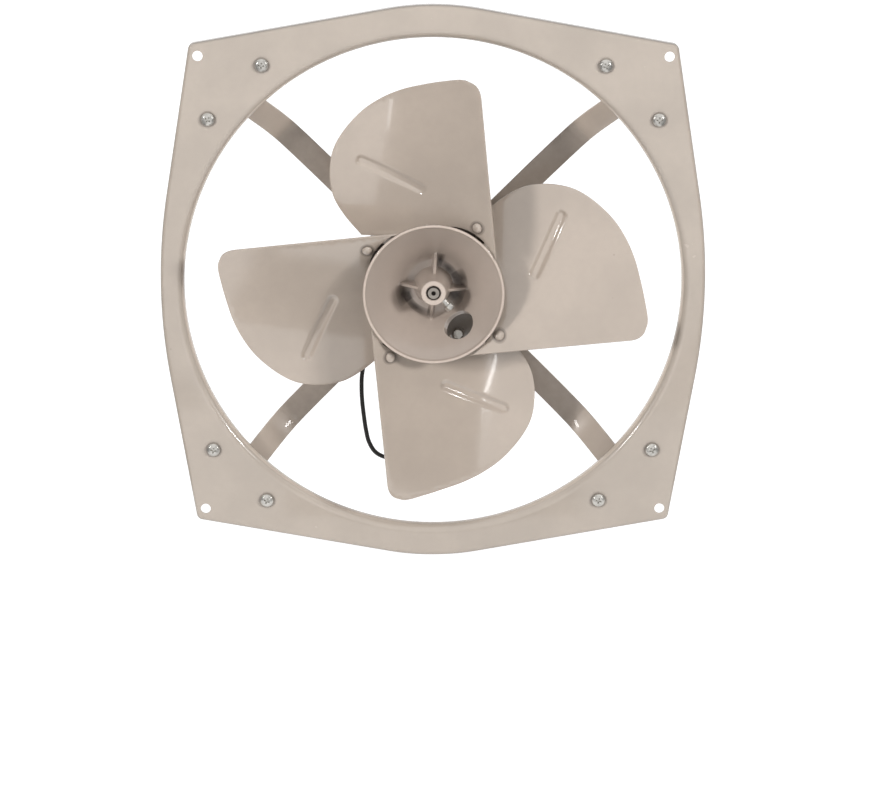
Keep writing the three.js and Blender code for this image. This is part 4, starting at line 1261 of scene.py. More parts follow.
@dataclass
class Studio:
    """Pale floor, white surroundings and soft boxes; glossy paint mirrors a bright field between dim ones.

    Brightness is 1 for white. Angles are in degrees, and patches of the floor are (half width, far, near).
    """

    floor_height: float = cad_box[0].z
    floor_size: float = 60.0
    ambient: float = 0.32
    dim: float = 0.16
    field: tuple[float, float] = (-24.0, 20.0)
    field_blur: float = 2.0
    ceiling: float = 28.0
    ceiling_blur: float = 12.0
    backdrop: float = 100.0
    backdrop_blur: float = 8.0
    shade_patch: Place = (0.13, -0.3, -0.13)
    near_patch: Pair = (0.34, -0.52)
    patch_blur: float = 0.02
    floor_glow: float = 0.87
    floor_paint: float = 0.45
    floor_bounce: float = 0.8
    lamps: tuple[Lamp, ...] = (
        Lamp("left_box", (-4.3, -4.4, 1.9), (1.0, 1.0), 149.0),
        Lamp("right_box", (5.04, -3.53, 1.9), (1.0, 1.0), 160.0),
        Lamp("back_box", (-2.6, 3.6, 1.9), (1.2, 1.2), 60.0),
        Lamp("left_glint", (-2.15, -2.2, 0.95), (0.3, 0.3), 14.0, True),
        Lamp("right_glint", (2.2, -2.15, 0.95), (0.3, 0.3), 14.0, True),
        Lamp("strip_box", (1.009, -2.862, -0.1), (0.028, 0.26), 0.34, True, lean=60.0),
        Lamp(
            "floor_strip", (-0.385, -0.885, cad_box[0].z + 0.01), (0.025, 0.2), 0.055, True,
            aim=(-0.289, -0.643, 0.6),
        ),
    )

    def build(self) -> None:
        """Makes the floor, the surroundings and the lamps."""
        self.world()
        self.floor()
        for lamp in self.lamps:
            lamp.build()
        bpy.context.scene.view_settings.view_transform = "Standard"

    def bright(self, tree: Tree, place: Signal, height: Optional[Signal] = None) -> Signal:
        """How bright the surroundings are in the fan's own gloss.

        Args:
            tree: The tree that asks.
            place: Place on the floor, or direction in the surroundings, from the fan's centre.
            height: Height of the direction in degrees, None on the floor.

        Returns:
            Brightness, from dim to white.
        """
        x, y = (tree.add("ShaderNodeSeparateXYZ", None, {0: place}, axis) for axis in range(2))
        bearing = x.maths("ARCTAN2", -y) * (180 / math.pi)
        left, right = self.field
        ahead = bearing.above(left, self.field_blur) * (1.0 - bearing.above(right, self.field_blur))
        behind = bearing.maths("ABSOLUTE").above(self.backdrop, self.backdrop_blur)
        if height is None:
            blur = self.patch_blur
            half, far = self.near_patch
            close = y.above(far, blur) * (1.0 - x.maths("ABSOLUTE").above(half, blur))
            ahead = ahead.maths("MAXIMUM", close)
            half, far, near = self.shade_patch
            patch = y.above(far, blur) * (1.0 - y.above(near, blur))
            ahead = ahead * (1.0 - patch * (1.0 - x.maths("ABSOLUTE").above(half, blur)))
        else:
            behind = behind.maths("MAXIMUM", height.above(self.ceiling, self.ceiling_blur))
        return self.dim + ahead.maths("MAXIMUM", behind) * (1.0 - self.dim)

    def world(self) -> None:
        """White to the camera and through gaps, a bright field in reflections, grey as light."""
        world = bpy.data.worlds.new("surroundings")
        bpy.context.scene.world = world
        world.use_nodes = True
        world.node_tree.nodes.clear()
        tree = Tree(world.node_tree)
        direction = tree.add("ShaderNodeTexCoord", out="Generated")
        height = tree.add("ShaderNodeSeparateXYZ", None, {0: direction}, 2).maths("ARCSINE") * (180 / math.pi)
        seen = self.path(tree, "Is Camera Ray").maths("MAXIMUM", self.path(tree, "Is Transmission Ray"))
        mirrored = self.bright(tree, direction, height) - self.ambient
        light = self.ambient + self.path(tree, "Is Glossy Ray") * mirrored
        sockets = {"Color": (1.0, 1.0, 1.0, 1.0), "Strength": light + seen * (1.0 - light)}
        glow = tree.add("ShaderNodeBackground", None, sockets)
        end = world.node_tree.nodes.new("ShaderNodeOutputWorld")
        world.node_tree.links.new(glow.socket, end.inputs["Surface"])

    @staticmethod
    def path(tree: Tree, name: str) -> Signal:
        """Whether a ray is of one kind."""
        return tree.add("ShaderNodeLightPath", out=name)

    def floor(self) -> None:
        """Pale floor that keeps the fan's shadow and is white around it."""
        half = self.floor_size / 2 / MM
        shell = Shell()
        corners = ((-half, -half), (half, -half), (half, half), (-half, half))
        shell.faces.append(tuple(shell.row((x, y, self.floor_height / MM) for x, y in corners)))
        made = shell.mesh("floor", outward=False)
        tree = SurfaceTree("pale_floor")
        white = (1.0, 1.0, 1.0, 1.0)
        plain, soft = (
            tree.add("ShaderNodeBsdfDiffuse", None, {"Color": (grey, grey, grey, 1.0)})
            for grey in (self.floor_bounce, self.floor_paint)
        )
        glow, mirror = (
            tree.add("ShaderNodeEmission", None, {"Color": white, "Strength": strength})
            for strength in (self.floor_glow, self.bright(tree, tree.place))
        )
        seen = tree.add("ShaderNodeAddShader", None, {0: glow, 1: soft})
        is_glossy, is_camera = self.path(tree, "Is Glossy Ray"), self.path(tree, "Is Camera Ray")
        glossy = tree.add("ShaderNodeMixShader", None, {0: is_glossy, 1: plain, 2: mirror})
        tree.add_output(tree.add("ShaderNodeMixShader", None, {0: is_camera, 1: glossy, 2: seen}))
        made.data.materials.append(tree.material)


# ---------------------------------------------------------------------------
# Lead, capacitor and gland
# ---------------------------------------------------------------------------


@dataclass
class MotorLead:
    """Black lead from the motor's gland, down in a loop, to the boot of the capacitor."""

    radius: float = 2.0
    steps: int = 10
    start: Place = (-49.56, 81.1, -66.08)
    route: tuple[Place, ...] = (
        (-56.6, 81.1, -75.8), (-62, 81.2, -88), (-64.7, 81.3, -101), (-65.2, 81.3, -114), (-64.6, 81.3, -127),
        (-63.2, 81.3, -140), (-61.4, 81.4, -153), (-58.5, 81.7, -165.5), (-52.2, 82.8, -175.9),
        (-41.8, 85.1, -181.6), (-29, 89.4, -182.4), (-16.8, 95.6, -177.8), (-7.6, 102.6, -168.2),
        (-2.4, 109.6, -154.6), (-0.4, 115.4, -138.4), (0, 118.6, -120.6),
    )
    end: Place = (0.0, 119.4, -102.4)

    def build(self, shop: Workshop) -> bpy.types.Object:
        """Args:
            shop: The fan's finishes and trees.

        Returns:
            The piece.
        """
        line = [point * MM for point in spline([self.start, *self.route, self.end], self.steps)]
        data = bpy.data.curves.new("motor_lead_flex", "CURVE")
        data.dimensions = "3D"
        data.bevel_depth = self.radius * MM
        data.bevel_resolution = 5
        data.use_fill_caps = True
        run = data.splines.new("POLY")
        run.points.add(len(line) - 1)
        for item, point in zip(run.points, line):
            item.co = (*point, 1.0)
        data.materials.append(shop.rubber)
        made = bpy.data.objects.new("motor_lead_flex", data)
        bpy.context.scene.collection.objects.link(made)
        placed(made, Body.FRAME, ["motor_lead"])
        length = sum((after - before).length for before, after in zip(line, line[1:]))
        log.info("lead: %.1f mm long", length / MM)
        return made


# ---------------------------------------------------------------------------
# Frame plate, arms and their screws
# ---------------------------------------------------------------------------


@dataclass
class FramePlate:
    """Pressed square plate: rim folded back round its bowed edge, lip rolled back round the opening."""

    half_height: float = 249.4
    half_width: float = 241.4
    top_radius: float = 235.0
    side_radius: float = 505.0
    top_tilt: float = 10.1
    side_tilt: float = 9.4
    corner_radius: float = 6.0
    opening: float = 220.6
    sheet: float = 1.6
    rim_bend: float = 3.0
    rim_depth: float = 12.0
    lip_bend: float = 8.0
    collar: float = 1.5
    round_off: float = 0.35
    hole_place: float = 205.0
    hole_radius: float = 4.5
    screw_hole_radius: float = 3.3
    hole_facets: int = 32
    drill_run: Pair = (-3.0, 4.0)
    sink_depth: float = 0.22
    sink_radius: float = 13.0
    arc_steps: tuple[int, int, int] = (14, 10, 26)
    edge_steps: int = 56
    face_rows: int = 14
    lip_rows: int = 10
    rim_rows: int = 6
    # Painted shade with soiling along the rim's fold.
    rim_shade_and_dirt: tuple[float, ...] = (0.12, 0.35, 0.5, 0.5)
    # Painted highlight along the lip's roll, strongest at the sides.
    lip_highlight: float = 1.7

    def quarter(self) -> list[tuple[Vector, Vector]]:
        """Outline from the middle of the top to the middle of the right side.

        Returns:
            Places and outward directions, both as (x, z).
        """
        top, side = math.radians(self.top_tilt), math.radians(90 - self.side_tilt)
        top_centre = Vector((0.0, self.half_height - self.top_radius))
        side_centre = Vector((self.half_width - self.side_radius, 0.0))
        side_reach = side_centre.x * math.sin(side) + self.side_radius - self.corner_radius
        top_reach = top_centre.y * math.cos(top) + self.top_radius - self.corner_radius
        spread = math.sin(side - top)
        corner_x = (side_reach * math.cos(top) - top_reach * math.cos(side)) / spread
        corner_z = (top_reach * math.sin(side) - side_reach * math.sin(top)) / spread
        made: list[tuple[Vector, Vector]] = []
        arcs = (
            (top_centre, self.top_radius, 0.0, top),
            (Vector((corner_x, corner_z)), self.corner_radius, top, side),
            (side_centre, self.side_radius, side, QUARTER),
        )
        for (centre, radius, first, last), steps in zip(arcs, self.arc_steps):
            for step in range(steps + 1):
                bearing = first + (last - first) * step / steps
                out = Vector((math.sin(bearing), math.cos(bearing)))
                place = centre + radius * out
                if step == 0 and made:
                    before, same = made[-1]
                    shares = (number / self.edge_steps for number in range(1, self.edge_steps))
                    made.extend((before.lerp(place, share), same) for share in shares)
                made.append((place, out))
        return made

    def outline(self) -> list[tuple[Vector, Vector]]:
        """Whole outline, clockwise from the top.

        Returns:
            Places and outward directions, both as (x, z).
        """
        quarter = self.quarter()
        made: list[tuple[Vector, Vector]] = []
        for x, z, back in ((1, 1, False), (1, -1, True), (-1, -1, False), (-1, 1, True)):
            part = [(Vector((p.x * x, p.y * z)), Vector((n.x * x, n.y * z))) for p, n in quarter]
            if back:
                part.reverse()
            made.extend(part[:-1])
        return made

    def side(self, depth: float, spots: Sequence[Pair]) -> list[Callable]:
        """One surface of the sheet, as functions that turn a place of the outline into a point.

        Args:
            depth: How far the surface lies behind the front one.
            spots: Places (x, z) that are drawn in a little by a screw.

        Returns:
            One function for each row, from the collar's end to the rim's.
        """
        lip, rim = self.lip_bend - depth, self.rim_bend - depth
        centre = self.opening + self.lip_bend

        def ring(radius: float, y: float) -> Callable:
            """Row round the opening."""

            def at(place: Vector, out: Vector) -> Place:
                """Point of the row."""
                way = (place - self.rim_bend * out).normalized()
                return (radius * way.x, y, radius * way.y)

            return at

        def face(share: float) -> Callable:
            """Row of the flat face."""

            def at(place: Vector, out: Vector) -> Place:
                """Point of the row."""
                edge = place - self.rim_bend * out
                spot = (centre * edge.normalized()).lerp(edge, share)
                near = min(math.hypot(spot.x - x, spot.y - z) for x, z in spots)
                sunk = self.sink_depth * max(0.0, 1 - (near / self.sink_radius) ** 2) ** 2
                return (spot.x, depth + sunk, spot.y)

            return at

        def fold(reach: float, y: float) -> Callable:
            """Row of the bend at the edge, or of the rim."""

            def at(place: Vector, out: Vector) -> Place:
                """Point of the row."""
                spot = place - (self.rim_bend - reach) * out
                return (spot.x, y, spot.y)

            return at

        end = self.lip_bend + self.collar
        inset = self.round_off if depth == 0 else -self.round_off
        rows = [ring(centre - lip + inset, end)]
        rows.extend(ring(centre - lip, y) for y in (end - self.round_off, self.lip_bend))
        for step in range(1, self.lip_rows + 1):
            angle = QUARTER * step / self.lip_rows
            rows.append(ring(centre - lip * math.cos(angle), self.lip_bend - lip * math.sin(angle)))
        rows.extend(face(step / self.face_rows) for step in range(1, self.face_rows + 1))
        for step in range(1, self.rim_rows + 1):
            angle = QUARTER * step / self.rim_rows
            rows.append(fold(rim * math.sin(angle), self.rim_bend - rim * math.cos(angle)))
        rows.extend(fold(rim, y) for y in (self.rim_bend + 4, self.rim_depth - self.round_off))
        rows.append(fold(rim - inset, self.rim_depth))
        return rows

    def build(self, shop: Workshop, spots: Sequence[Pair]) -> bpy.types.Object:
        """Makes the plate.

        Args:
            shop: The fan's finishes and trees.
            spots: Places (x, z) of the frame screws.

        Returns:
            The piece.
        """
        outline = self.outline()
        shell = Shell()
        rows = self.side(0.0, spots) + list(reversed(self.side(self.sheet, spots)))
        made = [shell.row(at(place, out) for place, out in outline) for at in rows]
        shell.skin(made, closed=True)
        lip_start = 3
        rim_start = lip_start + self.lip_rows + self.face_rows + 2
        # Painted shade with soiling on the rows of the rim's fold.
        for row, shade_and_dirt in zip(made[rim_start:], self.rim_shade_and_dirt):
            shell.mark("grime", row, shade_and_dirt)
        # Painted highlight on the lip's roll, strongest at the left and right sides.
        for row in made[lip_start:lip_start + 4]:
            for index, (place, _) in zip(row, outline):
                shell.mark("worn", [index], min(1.0, self.lip_highlight * abs(place.normalized().x)))
        plate = shell.mesh("frame_plate_pressed", SHEET_EDGE)
        cutter = Shell()
        holes = [(x, z, self.screw_hole_radius) for x, z in spots]
        for x in (-self.hole_place, self.hole_place):
            holes.extend((x, z, self.hole_radius) for z in (-self.hole_place, self.hole_place))
        for x, z, radius in holes:
            drill = slab(circle(radius, self.hole_facets), *self.drill_run)
            cutter.join(drill.moved(Matrix.Translation((x, 0, z))))
        cut(plate, cutter, SHEET_EDGE)
        dressed(plate, shop.frame)
        return placed(plate, Body.FRAME, ["frame_plate"])


def cut(
    made: bpy.types.Object, cutter: Shell, sharp: float = CAST_EDGE, operation: str = "DIFFERENCE"
) -> None:
    """Takes a shape out of a piece, or joins it to the piece.

    Args:
        made: The piece.
        cutter: The shape, in millimetres.
        sharp: Angle in degrees past which an edge of the result is sharp.
        operation: The Boolean modifier's operation.
    """
    tool = cutter.mesh(made.name + "_cutter")
    modifier = made.modifiers.new("cut", "BOOLEAN")
    modifier.operation = operation
    modifier.solver = "EXACT"
    modifier.object = tool
    settled(made, sharp)
    bpy.data.objects.remove(tool)


@dataclass
class CrossScrew:
    """Round-headed screw with a cross recess, its head towards -Y and its underside at depth 0.

    The recess is (half length, half width, depth) as shares of the head, narrower at its bottom.
    """

    radius: float
    head_radius: float
    head_height: float
    length: float
    pitch: float = 0.5
    thread: float = 0.28
    edge: float = 0.25
    skirt: float = 0.22
    dome_power: float = 0.75
    dome_steps: int = 12
    recess: Place = (0.5, 0.11, 0.45)
    recess_bottom: Pair = (0.5, 0.7)
    recess_top: Pair = (1.15, 1.2)

    def profile(self) -> list[Pair]:
        """Outline of the turned screw.

        Returns:
            Points as (radius, depth).
        """
        depth = self.length - self.pitch
        corners = [(0.0, self.length), (self.radius - 0.4, self.length), (self.radius, depth)]
        while depth > 3 * self.pitch:
            corners.extend([(self.radius, depth), (self.radius - self.thread, depth - self.pitch / 2)])
            depth -= self.pitch
        corners.append((self.radius - self.thread, 0.0))
        corners.extend([(self.head_radius - self.edge, 0.0), (self.head_radius, -self.edge)])
        skirt = self.head_height * self.skirt
        for step in range(self.dome_steps + 1):
            angle = QUARTER * step / self.dome_steps
            rise = skirt + (self.head_height - skirt) * math.sin(angle)
            corners.append((self.head_radius * math.cos(angle) ** self.dome_power, -rise))
        return corners

    def pattern(self, name: str) -> bpy.types.Object:
        """Makes one screw.

        Args:
            name: The object's name.

        Returns:
            The object.
        """
        made = turned(self.profile(), 40).mesh(name)
        long, narrow, sunk = self.recess
        long, narrow = self.head_radius * long, self.head_radius * narrow
        for angle in (0, QUARTER):
            arm = Shell()
            rows = []
            signs = ((-1, -1), (1, -1), (1, 1), (-1, 1))
            bottom, top = -self.head_height * sunk, -self.head_height - 1
            for depth, (x, z) in ((bottom, self.recess_bottom), (top, self.recess_top)):
                rows.append(arm.row((sx * long * x, depth, sz * narrow * z) for sx, sz in signs))
            arm.skin(rows, ends=True)
            cut(made, arm.moved(Matrix.Rotation(angle, 4, "Y")))
        return made


@dataclass
class HexBolt:
    """Hexagon-headed bolt, its head towards -Y and its underside at depth 0."""

    radius: float
    head_radius: float
    head_height: float
    length: float
    washer: float = 0.5
    crown: Pair = (0.7, 0.98)
    facets: int = 48
    chamfer: float = 0.5
    sunk: float = 0.2

    def pattern(self, name: str) -> bpy.types.Object:
        """Makes one bolt.

        Args:
            name: The object's name.

        Returns:
            The object.
        """
        shell = Shell()
        sixth = math.pi / 3
        flat = self.head_radius * math.cos(sixth / 2)
        shoulder, crown = self.crown
        rows = []
        for radius, depth, is_round in (
            (flat, 0.0, True),
            (self.head_radius, -self.washer, False),
            (self.head_radius, -self.head_height * shoulder, False),
            (flat * crown, -self.head_height, True),
        ):
            row = []
            for step in range(self.facets):
                angle = math.tau * step / self.facets
                hexagon = flat / math.cos((angle + sixth / 2) % sixth - sixth / 2)
                reach = radius if is_round else min(hexagon, radius)
                row.append((reach * math.cos(angle), depth, reach * math.sin(angle)))
            rows.append(shell.row(row))
        shell.skin(rows, ends=True)
        corners = [(0.0, -self.sunk), (self.radius, -self.sunk), (self.radius, self.length - self.chamfer)]
        corners += [(self.radius - self.chamfer, self.length), (0.0, self.length)]
        shell.join(turned(corners, 24))
        return shell.mesh(name, 25.0)


@dataclass
class FrameScrews:
    """Eight screws that hold the feet of the arms."""

    reach: float = 245.2
    spread: float = 33.5
    seat: float = -0.3
    screw: CrossScrew = field(default_factory=lambda: CrossScrew(3.0, 6.0, 3.4, 11.4))

    def places(self) -> list[Pair]:
        """Places of the screws.

        Returns:
            Places as (x, z), two for each arm.
        """
        made = []
        for arm in range(4):
            angle = QUARTER * (arm + 0.5)
            for across in (-self.spread, self.spread):
                x = self.reach * math.cos(angle) - across * math.sin(angle)
                z = self.reach * math.sin(angle) + across * math.cos(angle)
                made.append((x, z))
        return made

    def build(self, shop: Workshop) -> bpy.types.Object:
        """Makes the screws.

        Args:
            shop: The fan's finishes and trees.

        Returns:
            The piece.
        """
        frames = [Matrix.Translation((x, self.seat, z)) for x, z in self.places()]
        nodes = numbered("frame_screw", 8)
        kind = Fastening("frame_screws", Body.FRAME, nodes, "zinc_steel", shop.zinc, spin=1.2, seed=5)
        return kind.build(shop, self.screw.pattern("frame_screw_pattern"), frames)


@dataclass
class MotorArms:
    """Four flat bars, bent back from a foot strap behind the frame to a lug of the motor."""

    width: float = 22.0
    thickness: float = 3.0
    edge: float = 0.7
    reach: float = 245.2
    foot_depth: float = 3.4
    foot_half: float = 44.5
    screw_spread: float = 33.5
    nut_radius: float = 5.77
    nut_height: float = 5.0
    # Painted shade on the inner part of each bar, where the blades' shadow falls, with some soiling: its
    # strength, and the reach where it starts and fades in.
    shade_and_dirt: float = 0.42
    shade_edge: Pair = (190.0, 6.0)
    bends: tuple[Place, ...] = (
        (245.2, 3.35, 0), (234.0, 3.35, 2), (229.04, 5.52, 2), (226.07, 10.98, 3), (223.52, 17.49, 3),
        (210.99, 30.0, 8), (199.0, 41.0, 6), (186.99, 48.0, 1.2), (175.0, 51.0, 5), (159.0, 53.0, 6),
        (130.01, 55.0, 8), (65.5, 55.0, 0),
    )
    bolt_reach: float = 73.0
    bolt_seat: float = 53.2
    bolt: HexBolt = field(default_factory=lambda: HexBolt(3.0, 5.77, 4.0, 8.5))
    bend_share: float = 0.45

    def path(self) -> list[Vector]:
        """Middle line of the bar, with its bends rounded.

        Returns:
            Points as (reach, depth).
        """
        made = []
        for index, (reach, depth, soft) in enumerate(self.bends):
            here = Vector((reach, depth))
            if not soft:
                made.append(here)
                continue
            before = Vector(self.bends[index - 1][:2]) - here
            after = Vector(self.bends[index + 1][:2]) - here
            start = here + before.normalized() * min(soft, before.length * self.bend_share)
            end = here + after.normalized() * min(soft, after.length * self.bend_share)
            for step in range(5):
                t = step / 4
                made.append(start * (1 - t) ** 2 + here * (2 * t * (1 - t)) + end * t**2)
        return made

    def bar(self) -> Shell:
        """The bent bar, lying along +X, with painted shade on its inner part.

        Returns:
            The shell.
        """
        half, thick = self.width / 2, self.thickness / 2
        corners = [(-half, -thick), (half, -thick), (half, thick), (-half, thick)]
        section = softened(corners, [self.edge] * 4, 3)
        start, fade = self.shade_edge
        path = self.path()
        shell = Shell()
        rows = []
        for index, here in enumerate(path):
            before, after = path[max(index - 1, 0)], path[min(index + 1, len(path) - 1)]
            along = (after - before).normalized()
            out = Vector((-along.y, along.x))
            rows.append(shell.row((here.x + out.x * o, here.y + out.y * o, across) for across, o in section))
            # Painted shade on the inner part of the bar, inside the given reach.
            shell.mark("grime", rows[-1], self.shade_and_dirt * max(0.0, min(1.0, (start - here.x) / fade)))
        shell.skin(rows, ends=True)
        return shell

    def build(self, shop: Workshop) -> bpy.types.Object:
        """Makes the four arms with their weld nuts.

        Args:
            shop: The fan's finishes and trees.

        Returns:
            The piece.
        """
        shell = self.bar()
        half, thick = self.width / 2, self.thickness / 2
        low = (self.reach - half, self.foot_depth - thick, -self.foot_half)
        high = (self.reach + half, self.foot_depth + thick, self.foot_half)
        shell.join(brick(low, high, 1.5))
        back = self.foot_depth + thick
        for side in (-1, 1):
            nut = slab(circle(self.nut_radius, 6), back - 0.5, back + self.nut_height)
            shell.join(nut.moved(Matrix.Translation((self.reach, 0, side * self.screw_spread))))
        made = shell.mesh("motor_arms")
        shop.around.apply(made, {"Count": 4, "First": QUARTER / 2, "Finish": shop.bar})
        settled(made)
        return placed(made, Body.FRAME, numbered("arm", 4))

    def bolts(self, shop: Workshop) -> bpy.types.Object:
        """Makes the bolts that hold the arms to the motor.

        Args:
            shop: The fan's finishes and trees.

        Returns:
            The piece.
        """
        frames = []
        for index in range(4):
            angle = QUARTER * (index + 0.5)
            place = (self.bolt_reach * math.cos(angle), self.bolt_seat, self.bolt_reach * math.sin(angle))
            frames.append(Matrix.Translation(place))
        nodes = numbered("arm_bolt", 4)
        kind = Fastening("arm_bolts", Body.FRAME, nodes, "zinc_steel", shop.zinc, spin=0.5, seed=8)
        return kind.build(shop, self.bolt.pattern("arm_bolt_pattern"), frames)


# ---------------------------------------------------------------------------
# Blades and their rivets
# ---------------------------------------------------------------------------


@dataclass
class Blades:
    """Four pressed sheet blades: cambered, twisted, with a groove each; u runs across, v from the shaft."""

    sheet: float = 1.6
    turn: float = 0.24
    mid_radius: float = 110.0
    ahead: float = 8.4
    pitch: float = 0.346
    rake: float = 0.102
    camber_radius: float = 194.6
    camber_offset: float = 10.0
    twist: float = 1923.0
    sweep: float = 190.0
    root: float = 63.0
    root_end: float = 64.3
    root_dip: float = 5.7
    root_arc: tuple[int, int, int] = (15, 59, 24)
    root_power: float = 3.2
    tongue: float = 47.0
    tongue_arc: tuple[int, int, int] = (-18, 12, 12)
    rivet: Pair = (38.8, 58.0)
    rivet_rings: tuple[float, ...] = (0.0, 2.5, 4.6, 5.2, 6.0, 7.0)
    rivet_clear: float = 9.0
    # Painted contact shadow round each rivet's head: its strength and where it fades.
    rivet_shadow: float = 0.6
    rivet_shadow_edge: Pair = (6.9, 1.8)
    straight_root: Pair = (0.6653, -0.0003)
    straight_steps: int = 56
    corner: tuple[Pair, ...] = ((0.1504, 0.8935), (0.1383, 0.9793), (0.1124, 0.9925))
    edge: tuple[Pair, ...] = (
        (0.0872, 1.0022), (0.0273, 0.9714), (-0.0349, 0.9416), (-0.0960, 0.9184), (-0.1632, 0.8861),
        (-0.2383, 0.8389), (-0.3327, 0.7579), (-0.3991, 0.6853), (-0.4700, 0.5685), (-0.5215, 0.4610),
        (-0.5462, 0.3887), (-0.5762, 0.2689), (-0.6106, 0.1128),
    )
    groove: tuple[Pair, ...] = ((-0.3238, 0.5226), (-0.2218, 0.3584), (-0.0779, 0.2140))
    groove_half: float = 5.9
    groove_depth: float = 2.2
    groove_steep: float = 1.45
    grid: float = 4.0
    fine_grid: float = 1.1
    edge_round: float = 0.35

    def depth(self, u: float, v: float) -> float:
        """Depth of the sheet's middle surface.

        Args:
            u: Place across the blade.
            v: Place out from the shaft.

        Returns:
            The depth, in millimetres.
        """
        out = v - self.mid_radius
        camber = (u + self.camber_offset) ** 2 / (2 * self.camber_radius)
        return -self.ahead - self.pitch * u - self.rake * out - camber + u * out / self.twist

    def placed(self, shares: Pair) -> Vector:
        """Place (u, v) from a share of a quarter turn and a share of the way from the root to the tip."""
        radius = self.root + shares[1] * (self.sweep - self.root)
        return radius * Vector((math.sin(shares[0] * QUARTER), math.cos(shares[0] * QUARTER)))

    def outline(self) -> list[Vector]:
        """Closed outline of a blade, about 2 mm apart.

        Returns:
            Places (u, v).
        """
        start, bend, end = (self.placed(shares) for shares in self.corner)
        root, steps = self.placed(self.straight_root), self.straight_steps
        line = [root.lerp(start, step / steps) for step in range(steps)]
        line += bent(start, bend, end, 13)
        edge = spline([self.placed(shares).to_3d() for shares in (self.corner[2], *self.edge)], 9)
        line += [point.to_2d() for point in edge[1:]]
        for end, dip, (first, last, steps) in (
            (self.tongue, 0, self.tongue_arc), (self.root_end, self.root_dip, self.root_arc)
        ):
            for step in range(steps + 1):
                angle = math.radians(first + (last - first) * step / steps)
                radius = end - dip * (1 - step / steps) ** self.root_power
                line.append(radius * Vector((math.sin(angle), math.cos(angle))))
        return line[:-1]

    def press(self, place: Vector, line: Sequence[Vector]) -> float:
        """How deep the groove is at a place.

        Args:
            place: The place (u, v).
            line: The groove's middle line.

        Returns:
            Depth as a share from 0 to 1.
        """
        near = min((place - point).length for point in line)
        share = min(1.0, self.groove_steep * max(0.0, 1 - near / self.groove_half))
        return share * share * (3 - 2 * share)

    def inner_points(self, outline: Sequence[Vector], groove: Sequence[Vector]) -> list[Vector]:
        """Points inside a blade: a coarse grid, a fine one at the groove, and rings round the rivet's head.

        Args:
            outline: The blade's outline.
            groove: The groove's middle line.

        Returns:
            Places (u, v).
        """
        points = []
        rivet = Vector(self.rivet)
        low = Vector((min(p.x for p in outline), min(p.y for p in outline)))
        high = Vector((max(p.x for p in outline), max(p.y for p in outline)))
        coarse, fine = (self.grid, self.groove_half + 3, 1e9), (self.fine_grid, 0, self.groove_half + 2)
        row_share = 0.866
        for step, near, far in (coarse, fine):
            for row in range(int((high.y - low.y) / (step * row_share))):
                v = low.y + step * row_share * (row + 0.5)
                shift = step * 0.5 * (row % 2)
                for column in range(int((high.x - low.x) / step)):
                    place = Vector((low.x + shift + step * (column + 0.5), v))
                    away = min((place - point).length for point in groove)
                    is_free = near <= away < far and (place - rivet).length > self.rivet_clear
                    if is_free and within(place, outline, step * 0.6):
                        points.append(place)
        for radius in self.rivet_rings:
            ring = [rivet + radius * Vector(place) for place in circle(1.0, 24 if radius else 1)]
            points.extend(place for place in ring if within(place, outline, self.sheet / 2))
        return points

    def flat(self) -> bpy.types.Object:
        """Flat, triangulated blade with the groove's depth and a painted contact shadow round the rivet
        painted on it.

        Returns:
            The object; x is u, z is v.
        """
        outline = self.outline()
        groove = bent(*(self.placed(shares) for shares in self.groove), 80)
        found, faces = filled([point.copy() for point in outline], self.inner_points(outline, groove))
        shell = Shell()
        shell.row((point.x, 0.0, point.y) for point in found)
        shell.faces = faces
        start, fade = self.rivet_shadow_edge
        for number, point in enumerate(found):
            shell.mark("press", [number], self.press(point, groove))
            # Painted contact shadow round the rivet's head.
            head = (point - Vector(self.rivet)).length
            shell.mark("grime", [number], self.rivet_shadow * max(0.0, min(1.0, (start - head) / fade)))
        return shell.mesh("pressed_blades", outward=False)

    def tree(self) -> FormTree:
        """Tree that presses the flat blade to its surface and repeats it round the shaft.

        Returns:
            The tree.
        """
        labels = ("First", "Ahead", "Pitch", "Rake", "Camber radius", "Camber offset")
        labels += ("Middle", "Twist", "Groove")
        inputs = [("Count", "NodeSocketInt"), *((label, "NodeSocketFloat") for label in labels)]
        tree = FormTree("pressed_blades", [*inputs, ("Finish", "NodeSocketMaterial")])
        place = tree.add("GeometryNodeInputPosition")
        u, v = (tree.add("ShaderNodeSeparateXYZ", None, {0: place}, axis) for axis in (0, 2))
        press = tree.add("GeometryNodeInputNamedAttribute", {"data_type": "FLOAT"}, {"Name": "press"})
        out = v - tree.given("Middle")
        camber = (u + tree.given("Camber offset")) ** 2.0 / (2.0 * tree.given("Camber radius"))
        depth = -tree.given("Ahead") - tree.given("Pitch") * u - tree.given("Rake") * out - camber
        depth = depth + u * out / tree.given("Twist") + press * tree.given("Groove")
        moved = tree.add("ShaderNodeCombineXYZ", None, {0: u, 1: depth, 2: v})
        sockets = {"Geometry": tree.given("Geometry"), "Position": moved}
        tree.finish(repeat_round(tree, tree.add("GeometryNodeSetPosition", None, sockets)))
        return tree

